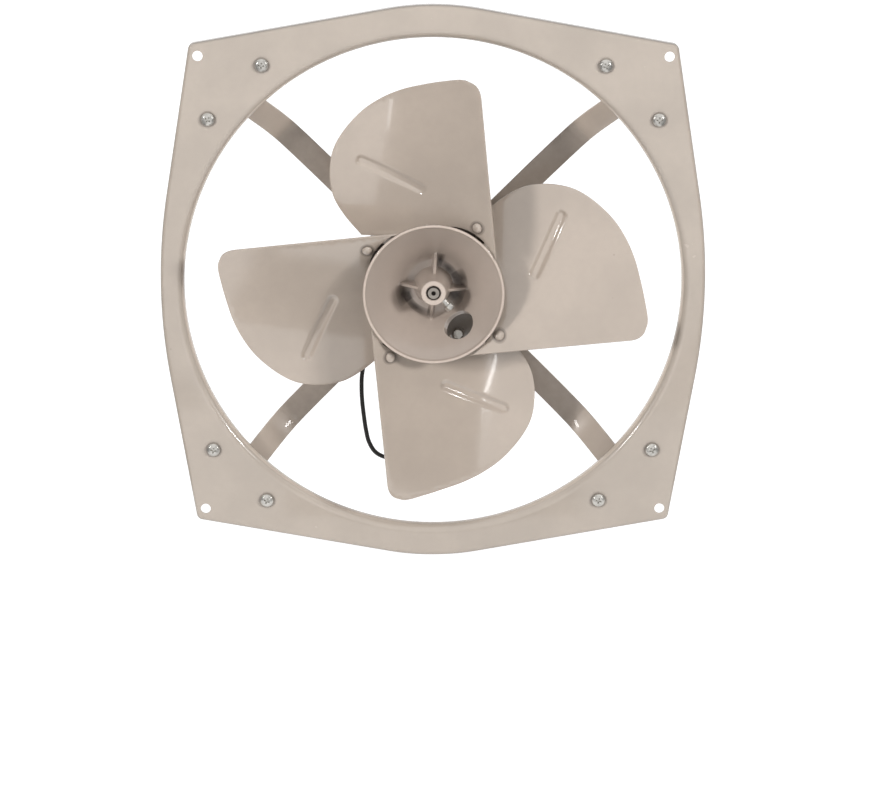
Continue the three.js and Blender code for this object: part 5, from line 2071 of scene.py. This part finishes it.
    def build(self, shop: Workshop, access: Shell) -> bpy.types.Object:
        """Makes the four blades.

        Args:
            shop: The fan's finishes and trees.
            access: What the hub's access hole keeps free.

        Returns:
            The piece.
        """
        made = self.flat()
        values = {
            "Count": 4, "First": math.radians(self.turn), "Ahead": self.ahead * MM, "Pitch": self.pitch,
            "Rake": self.rake, "Camber radius": self.camber_radius * MM,
            "Camber offset": self.camber_offset * MM, "Middle": self.mid_radius * MM,
            "Twist": self.twist * MM, "Groove": self.groove_depth * MM, "Finish": shop.blade,
        }
        self.tree().apply(made, values)
        thick = made.modifiers.new("thickness", "SOLIDIFY")
        thick.thickness = self.sheet * MM
        thick.offset = 0.0
        thick.use_even_offset = True
        soft = made.modifiers.new("soft_edge", "BEVEL")
        soft.width = self.edge_round * MM
        soft.segments = 2
        soft.limit_method = "ANGLE"
        soft.angle_limit = math.radians(60)
        settled(made, SHEET_EDGE)
        cut(made, access, SHEET_EDGE)
        return placed(made, Body.ROTOR, numbered("blade", 4))

    def square(self, u: float, v: float) -> Matrix:
        """Matrix whose +Y axis is square to the blade at a place."""
        step = 0.5
        slope_u = (self.depth(u + step, v) - self.depth(u - step, v)) / (2 * step)
        slope_v = (self.depth(u, v + step) - self.depth(u, v - step)) / (2 * step)
        return aimed(Vector((-slope_u, 1, -slope_v)).normalized(), (u, self.depth(u, v), v))

    def round(self, index: int) -> Matrix:
        """Turn of one blade round the shaft."""
        return Matrix.Rotation(-(math.radians(self.turn) + index * QUARTER), 4, "Y")


@dataclass
class Rivets:
    """Eight rivets that hold the blades to the hub's pads."""

    places: tuple[Pair, ...] = ((38.8, 58.0), (-4.6, 52.8))
    radius: float = 2.5
    head_radius: float = 4.5
    head_height: float = 2.6
    head_seat: float = -1.1
    tail_radius: float = 3.5
    tail_seat: float = 5.4
    tail_height: float = 2.0
    head_steps: int = 10

    def build(self, shop: Workshop, blades: Blades) -> bpy.types.Object:
        """Makes the rivets.

        Args:
            shop: The fan's finishes and trees.
            blades: The blades that they hold.

        Returns:
            The piece.
        """
        end = self.tail_seat + self.tail_height
        corners = [(0.0, end), (self.tail_radius - 0.5, end), (self.tail_radius, end - 0.5)]
        corners += [(self.tail_radius, self.tail_seat), (self.radius, self.tail_seat)]
        corners.append((self.radius, self.head_seat))
        for step in range(self.head_steps + 1):
            angle = QUARTER * step / self.head_steps
            rise = self.head_height * math.sin(angle)
            corners.append((self.head_radius * math.cos(angle), self.head_seat - rise))
        pattern = turned(corners, 40).mesh("blade_rivets_pattern")
        frames = [blades.round(index) @ blades.square(u, v) for index in range(4) for u, v in self.places]
        nodes = numbered("blade_rivet", 8)
        kind = Fastening("blade_rivets", Body.ROTOR, nodes, "blade_paint", shop.blade)
        return kind.build(shop, pattern, frames)


# ---------------------------------------------------------------------------
# Hub and shaft
# ---------------------------------------------------------------------------


@dataclass
class Hub:
    """Cast cup, open to the front: cone, floor, boss, four ribs, round access hole, pads for the blades.

    Rings are (first radius, step, count); pockets of painted shade are (bearing, spread, radius, width,
    strength).
    """

    rim_ahead: float = 30.5
    rim_radius: float = 60.9
    bead: float = 1.25
    bead_steps: int = 12
    slope: float = 0.875
    floor_depth: float = 8.0
    floor_blend: float = 4.0
    boss_ahead: float = 25.0
    boss_tip: float = 11.0
    boss_root: float = 17.0
    boss_blend: float = 2.2
    foot_blend: float = 3.0
    bore: float = 6.3
    rib_half: float = 1.2
    rib_steep: float = 9.0
    rib_blend: float = 1.8
    rib_line: tuple[Pair, Pair] = ((11.0, -11.5), (31.0, 4.0))
    rib_turn: float = -4.0
    access_bearing: float = 145.0
    access_radius: float = 14.0
    access_ahead: float = 7.5
    access_run: Place = (-6.0, 9.0, 24.0)
    collar_radius: float = 19.0
    collar_height: float = 4.22
    pad: tuple[Pair, ...] = (
        (-11.97, 26.98), (19.0, 23.94), (40.85, 38.0), (47.88, 50.92), (46.55, 66.12), (28.5, 65.55),
        (5.7, 60.8), (-11.97, 58.9),
    )
    pad_grid: tuple[Pair, Pair] = ((-10.0, 3.8), (27.0, 3.6))
    pad_clear: float = 1.6
    # Where the blades' roots leave the pads bare, their fronts stand back and take painted shade.
    bare_radius: float = 68.0
    bare_depth: float = 2.4
    bare_shade: float = 0.95
    pad_front: float = 1.1
    pad_thickness: float = 4.0
    web: tuple[float, float, float, float] = (31.8, 36.8, 44.0, 66.0)
    web_front: float = 2.0
    web_back: float = 16.1
    web_pinch: float = 0.8
    cavity: tuple[Pair, ...] = ((29.0, 5.4), (25.6, 8.4), (0.0, 8.4))
    cavity_ahead: float = 60.0
    cavity_gap: float = 0.8
    columns: int = 72
    column_crowding: float = 0.86
    rings: tuple[tuple[float, float, int], ...] = (
        (6.3, 0.5, 2), (7.4, 0.55, 7), (10.6, 0.26, 28), (18.0, 0.7, 24), (35.2, 1.16, 21),
    )
    # Painted highlight on the boss's tip, between these radii.
    highlight_tip: Pair = (7.3, 10.6)
    outside: tuple[Pair, ...] = (
        (62.15, -29.4), (61.6, -28.3), (60.6, -27.05), (58.12, -24.21), (52.36, -17.63), (46.6, -11.05),
        (40.84, -4.47), (35.08, 2.11), (31.6, 6.4), (30.0, 8.2), (28.2, 10.0), (27.0, 10.8), (26.2, 11.0),
        (17.2, 11.0), (17.0, 11.2), (17.0, 12.6), (16.6, 13.0), (6.8, 13.0), (6.3, 12.5),
    )
    # Painted highlight on the rim's bead, then painted shade on the outer wall behind it, counted in rows.
    highlight_rows: int = 10
    shaded_rows: int = 18
    # Painted shade low in the cup and in its pockets beside the boss and ribs.
    floor_shade: float = 0.15
    low_edge: Pair = (9.0, 13.0)
    pockets: tuple[tuple[float, float, float, float, float], ...] = (
        (196.0, 18.0, 27.0, 7.0, 1.0), (228.0, 34.0, 25.0, 3.5, 0.9), (14.0, 20.0, 24.5, 6.5, 1.0),
        (45.0, 28.0, 20.5, 4.0, 0.9), (-24.0, 20.0, 21.0, 8.0, 1.0), (75.0, 7.0, 24.0, 7.0, 0.9),
        (265.0, 8.0, 22.0, 6.0, 0.9),
    )
    pocket_powers: Pair = (0.35, 0.5)

    @staticmethod
    def rounded_max(first: float, second: float, blend: float) -> float:
        """Larger of two values, with a rounded join."""
        share = max(blend - abs(first - second), 0.0) / blend
        return max(first, second) + share * share * blend / 4

    def height(self, r: float, angle: float) -> float:
        """How far the cup's inner surface stands ahead of the frame's face.

        Args:
            r: Distance from the shaft's axis.
            angle: Angle round it.

        Returns:
            The height, in millimetres.
        """
        inner = self.rim_radius - self.bead
        cone = self.rim_ahead - (inner - r) / self.slope
        value = self.rounded_max(cone, -self.floor_depth, self.floor_blend)
        turned_by = angle - math.radians(self.rib_turn) + QUARTER / 2
        across = abs(r * math.sin(turned_by % QUARTER - QUARTER / 2))
        (near, near_depth), (far, far_depth) = self.rib_line
        line = -(near_depth + (r - near) * (far_depth - near_depth) / (far - near))
        rib = line - self.rib_steep * max(0.0, across - self.rib_half)
        value = self.rounded_max(value, rib, self.rib_blend)
        share = (r - self.boss_tip) / (self.boss_root - self.boss_tip)
        side = self.boss_ahead - share * (self.boss_ahead + self.floor_depth)
        boss = -self.rounded_max(-side, -self.boss_ahead, self.boss_blend)
        return self.rounded_max(value, boss, self.foot_blend)

    def grime(self, r: float, angle: float, height: float) -> float:
        """Painted shade low in the cup and in its pockets beside the boss and ribs.

        Args:
            r: Distance from the shaft's axis.
            angle: Angle round it, from +X towards +Z.
            height: How far the surface stands ahead.

        Returns:
            Painted shade from 0 to 1.
        """
        start, fade = self.low_edge
        low = max(0.0, min(1.0, (start - height) / fade))
        shade_and_dirt = self.floor_shade * low
        across, along = self.pocket_powers
        for middle, spread, centre, width, strength in self.pockets:
            away = abs((math.degrees(angle) - middle + 180) % 360 - 180)
            ring = max(0.0, 1 - abs(r - centre) / width)
            shade_and_dirt += strength * low * ring**across * max(0.0, 1 - away / spread) ** along
        return min(shade_and_dirt, 1.0)

    def cup(self) -> Shell:
        """The cup without its holes.

        Returns:
            The shell.
        """
        shell = Shell()
        inner = self.rim_radius - self.bead
        radii = [first + step * index for first, step, count in self.rings for index in range(count)]
        radii = [radius for radius in radii if radius < inner - 0.3] + [inner]
        angles = []
        for quarter in range(4):
            for column in range(self.columns):
                share = column / self.columns
                warped = share - self.column_crowding / math.tau * math.sin(math.tau * share)
                angles.append((quarter + warped) * QUARTER + math.radians(self.rib_turn))
        rows = []
        for number, r in enumerate(radii):
            heights = [self.height(r, angle) - (0.5 if number == 0 else 0.0) for angle in angles]
            places = zip(heights, angles)
            row = shell.row((r * math.cos(angle), -height, r * math.sin(angle)) for height, angle in places)
            rows.append(row)
            # Painted shade low in the cup and in its pockets.
            for index, height, angle in zip(row, heights, angles):
                shell.mark("grime", [index], self.grime(r, angle, height))
            # Painted highlight on the boss's tip.
            if self.highlight_tip[0] < r < self.highlight_tip[1]:
                shell.mark("worn", row, 0.9)
        profile = []
        for step in range(1, self.bead_steps + 1):
            turn = math.pi * step / self.bead_steps
            reach, rise = self.bead * math.cos(turn), self.bead * math.sin(turn)
            profile.append((self.rim_radius - reach, -self.rim_ahead - rise))
        for number, (r, y) in enumerate([*profile, *self.outside]):
            rows.append(shell.row((r * math.cos(angle), y, r * math.sin(angle)) for angle in angles))
            # Painted highlight on the rim's bead.
            if number < self.highlight_rows:
                shell.mark("worn", rows[-1], 1.0)
            # Painted shade on the outer wall just behind the rim, seen through the gap by the blades.
            elif number < self.shaded_rows:
                shell.mark("grime", rows[-1], 0.5)
        shell.skin(rows, closed=True)
        return shell

    def frame_at_hole(self) -> Matrix:
        """Matrix with its +Y axis out through the access hole, from the cup's inner surface."""
        tilt = math.atan(self.slope)
        out = clock(self.access_bearing)
        reach = self.rim_radius - self.slope * (self.rim_ahead - self.access_ahead)
        direction = out * math.cos(tilt) + Vector((0, math.sin(tilt), 0))
        return aimed(direction, (out.x * reach, -self.access_ahead, out.z * reach))

    def access(self, beyond: bool = True) -> Shell:
        """What the access hole keeps free.

        Args:
            beyond: Whether it reaches through the blades behind the cup's wall.

        Returns:
            The shell.
        """
        r = self.access_radius
        start, wall, end = self.access_run
        end = end if beyond else wall
        return turned([(0.0, start), (r, start), (r, end), (0.0, end)]).moved(self.frame_at_hole())

    def recess(self, place: Vector) -> float:
        """How far a pad's front stands back where the blade's root leaves it bare."""
        return self.bare_depth if place.length < self.bare_radius else 0.0

    def web_shell(self, blades: Blades) -> Shell:
        """Web that stiffens a pad from behind.

        Args:
            blades: The blades.

        Returns:
            The shell.
        """
        low_u, high_u, low_v, high_v = self.web
        shell = Shell()
        rows = []
        for v in (low_v, (low_v + high_v) / 2, high_v - 1.0, high_v):
            pinch = 0.0 if v < high_v else self.web_pinch
            left, right, back = low_u + pinch, high_u - pinch, self.web_back - pinch
            corners = ((left, self.web_front), (right, self.web_front), (right, back), (left, back))
            rows.append(shell.row((u, blades.depth(u, v) + offset, v) for u, offset in corners))
        shell.skin(rows, ends=True)
        return shell

    def pads(self, shop: Workshop, blades: Blades) -> bpy.types.Object:
        """Makes the cast pads behind the blades' roots.

        Args:
            shop: The fan's finishes and trees.
            blades: The blades.

        Returns:
            The object.
        """
        shell = Shell()
        outline = softened(self.pad, [2.0] * len(self.pad), 3)
        dense: list[Vector] = []
        for here, after in zip(outline, outline[1:] + outline[:1]):
            start, end = Vector(here), Vector(after)
            steps = max(1, int((end - start).length / 3))
            dense.extend(start.lerp(end, step / steps) for step in range(steps))
        (first_u, step_u), (first_v, step_v) = self.pad_grid
        columns = [first_u + step_u * number for number in range(16)]
        grid = [Vector((u, first_v + row * step_v)) for row in range(12) for u in columns]
        found, faces = filled(dense, [place for place in grid if within(place, dense, self.pad_clear)])
        near = shell.row((p.x, blades.depth(p.x, p.y) + self.pad_front + self.recess(p), p.y) for p in found)
        # Painted shade on the bare fronts seen through the gap by the rim.
        bare = (number for number, p in zip(near, found) if p.length < self.bare_radius)
        shell.mark("grime", bare, self.bare_shade)
        back = self.pad_front + self.pad_thickness
        far = shell.row((p.x, blades.depth(p.x, p.y) + back, p.y) for p in found)
        shell.faces.extend(tuple(near[i] for i in face) for face in faces)
        shell.faces.extend(tuple(far[i] for i in reversed(face)) for face in faces)
        shell.skin([near[:len(dense)], far[:len(dense)]])
        made = shell.mesh("hub_pads")
        cut(made, self.web_shell(blades), operation="UNION")
        inner = self.rim_radius - self.bead + self.cavity_gap
        ahead = -self.cavity_ahead
        cut(made, turned([(0.0, ahead), (inner, ahead), (inner, -self.rim_ahead), *self.cavity]))
        shop.around.apply(made, {"Count": 4, "First": math.radians(blades.turn), "Finish": shop.hub})
        return settled(made)

    def build(self, shop: Workshop, blades: Blades) -> bpy.types.Object:
        """Makes the hub.

        Args:
            shop: The fan's finishes and trees.
            blades: The blades, whose surface the pads follow.

        Returns:
            The piece.
        """
        made = self.cup().mesh("cast_hub")
        cut(made, self.access(False))
        inner, outer, end = self.access_radius, self.collar_radius, self.collar_height
        rim = softened([(inner, 1.0), (inner, end), (outer, end), (outer, 1.0)], [0.0, 0.5, 1.2, 0.0])
        collar = turned(rim).moved(self.frame_at_hole()).mesh("collar")
        pads = self.pads(shop, blades)
        cut(pads, self.access())
        dressed(made, shop.hub)
        dressed(collar, shop.hub)
        with bpy.context.temp_override(active_object=made, selected_editable_objects=[made, collar, pads]):
            bpy.ops.object.join()
        return placed(made, Body.ROTOR, ["hub"])


@dataclass
class ShaftEnd:
    """Shaft, with painted shade in its centre hole and round its end face, and the set screw that holds the
    hub on it.
    """

    tip: float = -25.8
    centre_hole: tuple[Pair, ...] = (
        (0.0, 2.5), (1.2, 1.6), (1.8, 0.0), (2.3, 0.0), (4.7, 0.0), (5.2, 0.0), (6.0, 0.8),
    )
    steps: tuple[Pair, ...] = (
        (6.0, 13.3), (7.2, 13.3), (7.5, 13.6), (7.5, 34.6), (8.7, 34.6), (9.0, 34.9), (9.0, 103.5),
        (8.7, 103.8), (7.5, 103.8), (7.5, 114.6), (7.0, 115.1), (0.0, 115.1),
    )
    # End face ring that stays bright; inside and outside it the end takes painted shade.
    bright_face: Pair = (2.0, 5.1)
    screw_bearing: float = 137.7
    screw_ahead: float = 9.0
    screw_start: float = 6.6
    screw: HexBolt = field(default_factory=lambda: HexBolt(3.0, 4.6, 4.5, 12.5))

    def build(self, shop: Workshop) -> None:
        """Makes the shaft and its set screw.

        Args:
            shop: The fan's finishes and trees.
        """
        corners = [(radius, self.tip + depth) for radius, depth in self.centre_hole] + [*self.steps]
        inner, outer = self.bright_face
        shell = turned(corners, 64)
        # Painted shade in the centre hole and on the edge round the end face.
        reach = [math.hypot(point.x, point.z) if point.y < self.tip + 3 else inner for point in shell.points]
        shell.mark("grime", (number for number, r in enumerate(reach) if r < inner or r > outer), 1.0)
        shaft = dressed(shell.mesh("turned_shaft", 30.0), shop.steel)
        placed(shaft, Body.ROTOR, ["shaft"])
        seat = self.screw_start + self.screw.length
        out = clock(self.screw_bearing)
        place = (out.x * seat, -self.screw_ahead, out.z * seat)
        kind = Fastening("hub_set_screw", Body.ROTOR, ["set_screw"], "zinc_steel", shop.zinc)
        kind.build(shop, self.screw.pattern("set_screw_pattern"), [aimed(-out, place)])


# ---------------------------------------------------------------------------
# Motor
# ---------------------------------------------------------------------------


@dataclass
class Motor:
    """Motor casing: front shield with lugs, ring housing, rear shield, through bolts, gland.

    Domes are (depth of the nose, depth at the full radius); tables are (radius, depth) or, for the gland,
    (radius, reach from the shaft's axis).
    """

    radius: float = 62.0
    chamfer: float = 0.4
    inner_radius: float = 59.0
    nose: float = 21.0
    bore: float = 7.8
    seat_radius: float = 17.8
    front: float = 20.0
    front_dome: float = 36.0
    front_inside: Pair = (23.8, 39.0)
    front_seat: Pair = (34.9, 23.0)
    front_end: float = 65.8
    dome_steps: int = 16
    lug_low: Place = (59.6, 56.8, -11.0)
    lug_high: Place = (82.0, 65.8, 11.0)
    lug_round: float = 2.5
    bolt_radius: float = 53.0
    bolt_angle: float = 25.0
    bolt_seat: float = 24.03
    bolt: HexBolt = field(default_factory=lambda: HexBolt(2.0, 4.6, 3.5, 89.37))
    bolt_pad: tuple[Pair, ...] = ((0.0, 24.33), (5.6, 24.33), (6.0, 24.7), (6.0, 36.0), (0.0, 36.0))
    bolt_boss: tuple[Pair, ...] = ((0.0, 104.0), (5.0, 104.0), (5.0, 114.9), (4.4, 115.5), (0.0, 115.5))
    ring: Pair = (66.1, 96.1)
    ring_inner: float = 58.7
    ring_rounds: tuple[float, ...] = (0.2, 0.6, 0.6, 0.2)
    clamp_pad: tuple[float, float, float] = (-12.0, 35.0, -66.0)
    clamp_pad_run: Pair = (78.1, 94.1)
    clamp_pad_inner: float = 60.4
    clamp_pad_steps: int = 12
    rear_start: float = 96.4
    rear_dome: Pair = (118.4, 104.4)
    rear_seat: tuple[Pair, ...] = ((0.0, 115.4), (17.8, 115.4), (17.8, 103.8), (21.0, 103.8))
    rear_inside: Pair = (114.6, 101.4)
    gland_nut: tuple[Pair, ...] = (
        (0.0, 59.0), (4.0, 59.0), (4.0, 62.3), (7.7, 62.3), (8.0, 62.6), (8.0, 64.9), (7.6, 65.3),
    )
    gland_ribs: int = 7
    gland_rib: tuple[Pair, Pair] = ((6.4, -0.5), (66.0, 2.2))
    gland_groove: tuple[Pair, ...] = ((0.0, 0.0), (0.0, 1.2), (-0.9, 1.4), (-0.9, 2.0))
    gland_end: tuple[Pair, ...] = ((2.9, 81.6), (2.6, 82.3), (0.0, 82.3))
    gland_bearing: float = 216.87
    gland_depth: float = 81.1

    def dome(self, full: float, nose_depth: float, full_depth: float) -> list[Pair]:
        """Quarter of an ellipse, from the nose to the full radius.

        Args:
            full: Full radius.
            nose_depth: Depth of the nose.
            full_depth: Depth at the full radius.

        Returns:
            Points as (radius, depth).
        """
        made = []
        for step in range(self.dome_steps + 1):
            angle = QUARTER * step / self.dome_steps
            depth = full_depth + (nose_depth - full_depth) * math.cos(angle)
            made.append((self.nose + (full - self.nose) * math.sin(angle), depth))
        return made

    def front_shield(self, shop: Workshop) -> None:
        """Makes the front shield with its lugs and bolt pads."""
        end, inner, cut_off = self.front_end, self.inner_radius, self.chamfer
        corners = [(self.bore, self.front + cut_off), (self.bore + cut_off, self.front)]
        corners += self.dome(self.radius, self.front, self.front_dome)
        corners += [(self.radius, end - cut_off), (self.radius - cut_off, end), (inner, end)]
        corners += reversed(self.dome(inner, *self.front_inside))
        back, front = self.front_seat
        corners += [(self.nose, back), (self.seat_radius, back), (self.seat_radius, front)]
        corners.append((self.bore, front))
        shell = turned(corners)
        for index in range(4):
            lug = brick(self.lug_low, self.lug_high, self.lug_round)
            shell.join(lug.moved(Matrix.Rotation(-QUARTER * (index + 0.5), 4, "Y")))
        for x, z in self.bolt_places():
            shell.join(turned(self.bolt_pad, 32).moved(Matrix.Translation((x, 0, z))))
        fixed(shell, "front_shield_cast", shop.motor, "front_end_shield")

    def bolt_places(self) -> list[Pair]:
        """Places (x, z) of the through bolts."""
        angles = [math.radians(self.bolt_angle + 90 * index) for index in range(4)]
        return [(self.bolt_radius * math.cos(a), self.bolt_radius * math.sin(a)) for a in angles]

    def housing(self, shop: Workshop) -> None:
        """Makes the ring housing with the pad for the capacitor's clamp."""
        (front, back), inner = self.ring, self.ring_inner
        corners = [(inner, front), (self.radius, front), (self.radius, back), (inner, back)]
        shell = turned(softened(corners, self.ring_rounds))
        left, right, low = self.clamp_pad
        outline = [(left, low), (right, low)]
        for step in range(self.clamp_pad_steps + 1):
            x = right - (right - left) * step / self.clamp_pad_steps
            outline.append((x, -math.sqrt(self.clamp_pad_inner**2 - x**2)))
        rounds = [1.5, 1.5] + [0.0] * (self.clamp_pad_steps + 1)
        shell.join(slab(softened(outline, rounds), *self.clamp_pad_run))
        fixed(shell, "ring_housing", shop.motor, "motor_housing")

    def rear_shield(self, shop: Workshop) -> None:
        """Makes the rear shield with its bolt bosses."""
        start, inner, cut_off = self.rear_start, self.inner_radius, self.chamfer
        corners = [(inner, start), (self.radius - cut_off, start), (self.radius, start + cut_off)]
        corners += reversed(self.dome(self.radius, *self.rear_dome))
        corners += [(0.0, self.rear_dome[0]), *self.rear_seat, *self.dome(inner, *self.rear_inside)]
        shell = turned(corners)
        for x, z in self.bolt_places():
            shell.join(turned(self.bolt_boss, 32).moved(Matrix.Translation((x, 0, z))))
        fixed(shell, "rear_shield_cast", shop.motor, "rear_end_shield")

    def gland(self, shop: Workshop) -> None:
        """Makes the lead's gland on the housing."""
        corners = [*self.gland_nut]
        (first_radius, taper), (first_reach, pitch) = self.gland_rib
        for step in range(self.gland_ribs):
            radius, reach = first_radius + taper * step, first_reach + pitch * step
            corners += [(radius + inset, reach + run) for inset, run in self.gland_groove]
        corners += self.gland_end
        place = aimed(clock(self.gland_bearing), (0, self.gland_depth, 0))
        shell = turned(corners, 40).moved(place)
        fixed(shell, "lead_gland", shop.plastic, "cable_gland")

    def build(self, shop: Workshop) -> None:
        """Makes the casing and its bolts.

        Args:
            shop: The fan's finishes and trees.
        """
        for make in (self.front_shield, self.housing, self.rear_shield, self.gland):
            make(shop)
        frames = [Matrix.Translation((x, self.bolt_seat, z)) for x, z in self.bolt_places()]
        nodes = numbered("through_bolt", 4)
        kind = Fastening("through_bolts", Body.FRAME, nodes, "zinc_steel", shop.zinc, spin=0.6, seed=2)
        kind.build(shop, self.bolt.pattern("through_bolt_pattern"), frames)
        self.inner_parts(shop)

    @staticmethod
    def inner_parts(shop: Workshop) -> None:
        """Finishes the parts inside the casing, which keep their carried-over shapes."""
        inside = {"stator_core": shop.lamination, "rotor_core": shop.lamination}
        inside["stator_winding"] = shop.copper
        for place in ("front", "rear"):
            inside.update({f"{place}_bearing_{ring}": shop.steel for ring in ("outer", "inner")})
        for node, finish in inside.items():
            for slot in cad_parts[node].material_slots:
                slot.material = finish


@dataclass
class Capacitor:
    """Run capacitor under the motor, with its clamp, clamp screw and boot; tables are (radius, depth)."""

    height: float = -83.1
    can_front: tuple[Pair, ...] = ((0.0, 69.0), (12.2, 69.0), (12.8, 68.1), (14.2, 68.1), (15.0, 69.2))
    can_back: tuple[Pair, ...] = ((15.0, 113.6), (14.5, 114.1), (0.0, 114.1))
    band: Pair = (15.3, 16.8)
    band_run: Pair = (79.1, 93.1)
    tab: tuple[float, float, float] = (34.0, -67.8, -66.3)
    round_off: float = 0.3
    screw: CrossScrew = field(default_factory=lambda: CrossScrew(2.0, 4.0, 2.6, 8.0))
    screw_place: Place = (27.0, 86.1, -68.1)
    boot: tuple[Pair, ...] = (
        (0.0, 114.4), (14.7, 114.4), (15.0, 114.8), (15.0, 122.6), (14.6, 123.7), (13.4, 124.4), (0.0, 124.4),
    )
    snout: tuple[Pair, ...] = ((0.0, 0.0), (4.5, 0.0), (4.5, 16.0), (4.2, 17.6), (3.4, 19.0), (0.0, 19.0))
    snout_depth: float = 119.4
    steps: int = 72
    snout_steps: int = 32

    def build(self, shop: Workshop) -> None:
        """Makes the capacitor, its clamp, its screw and its boot.

        Args:
            shop: The fan's finishes and trees.
        """
        down = Matrix.Translation((0, 0, self.height))
        can = turned([*self.can_front, *self.can_back], self.steps).moved(down)
        fixed(can, "capacitor_can", shop.can, "capacitor")
        (inner, outer), (front, back) = self.band, self.band_run
        corners = [(inner, front), (outer, front), (outer, back), (inner, back)]
        band = turned(softened(corners, [self.round_off] * 4), self.steps).moved(down)
        right, low, high = self.tab
        outline = [(0.0, low), (right, low), (right, high), (0.0, high)]
        band.join(slab(softened(outline, [self.round_off] * 4, 2), front, back))
        fixed(band, "capacitor_band", shop.zinc, "capacitor_clamp")
        kind = Fastening("band_screw", Body.FRAME, ["clamp_screw"], "zinc_steel", shop.zinc)
        frame_up = aimed(Vector((0, 0, 1)), self.screw_place)
        kind.build(shop, self.screw.pattern("band_screw_pattern"), [frame_up])
        boot = turned(self.boot, self.steps).moved(down)
        snout = aimed(Vector((0, 0, -1)), (0, self.snout_depth, self.height))
        boot.join(turned(self.snout, self.snout_steps).moved(snout))
        fixed(boot, "rubber_boot", shop.rubber, "capacitor_boot")


def main() -> None:
    """Builds the scene."""
    Viewpoint().build()
    shop = Workshop()
    MotorLead().build(shop)
    Studio().build()
    screws, arms, blades, hub = FrameScrews(), MotorArms(), Blades(), Hub()
    FramePlate().build(shop, screws.places())
    screws.build(shop)
    arms.build(shop)
    arms.bolts(shop)
    blades.build(shop, hub.access())
    Rivets().build(shop, blades)
    hub.build(shop, blades)
    for maker in (ShaftEnd(), Motor(), Capacitor()):
        maker.build(shop)


if __name__ == "__main__":
    logging.basicConfig(level=logging.INFO, format="%(name)s: %(message)s")
    main()
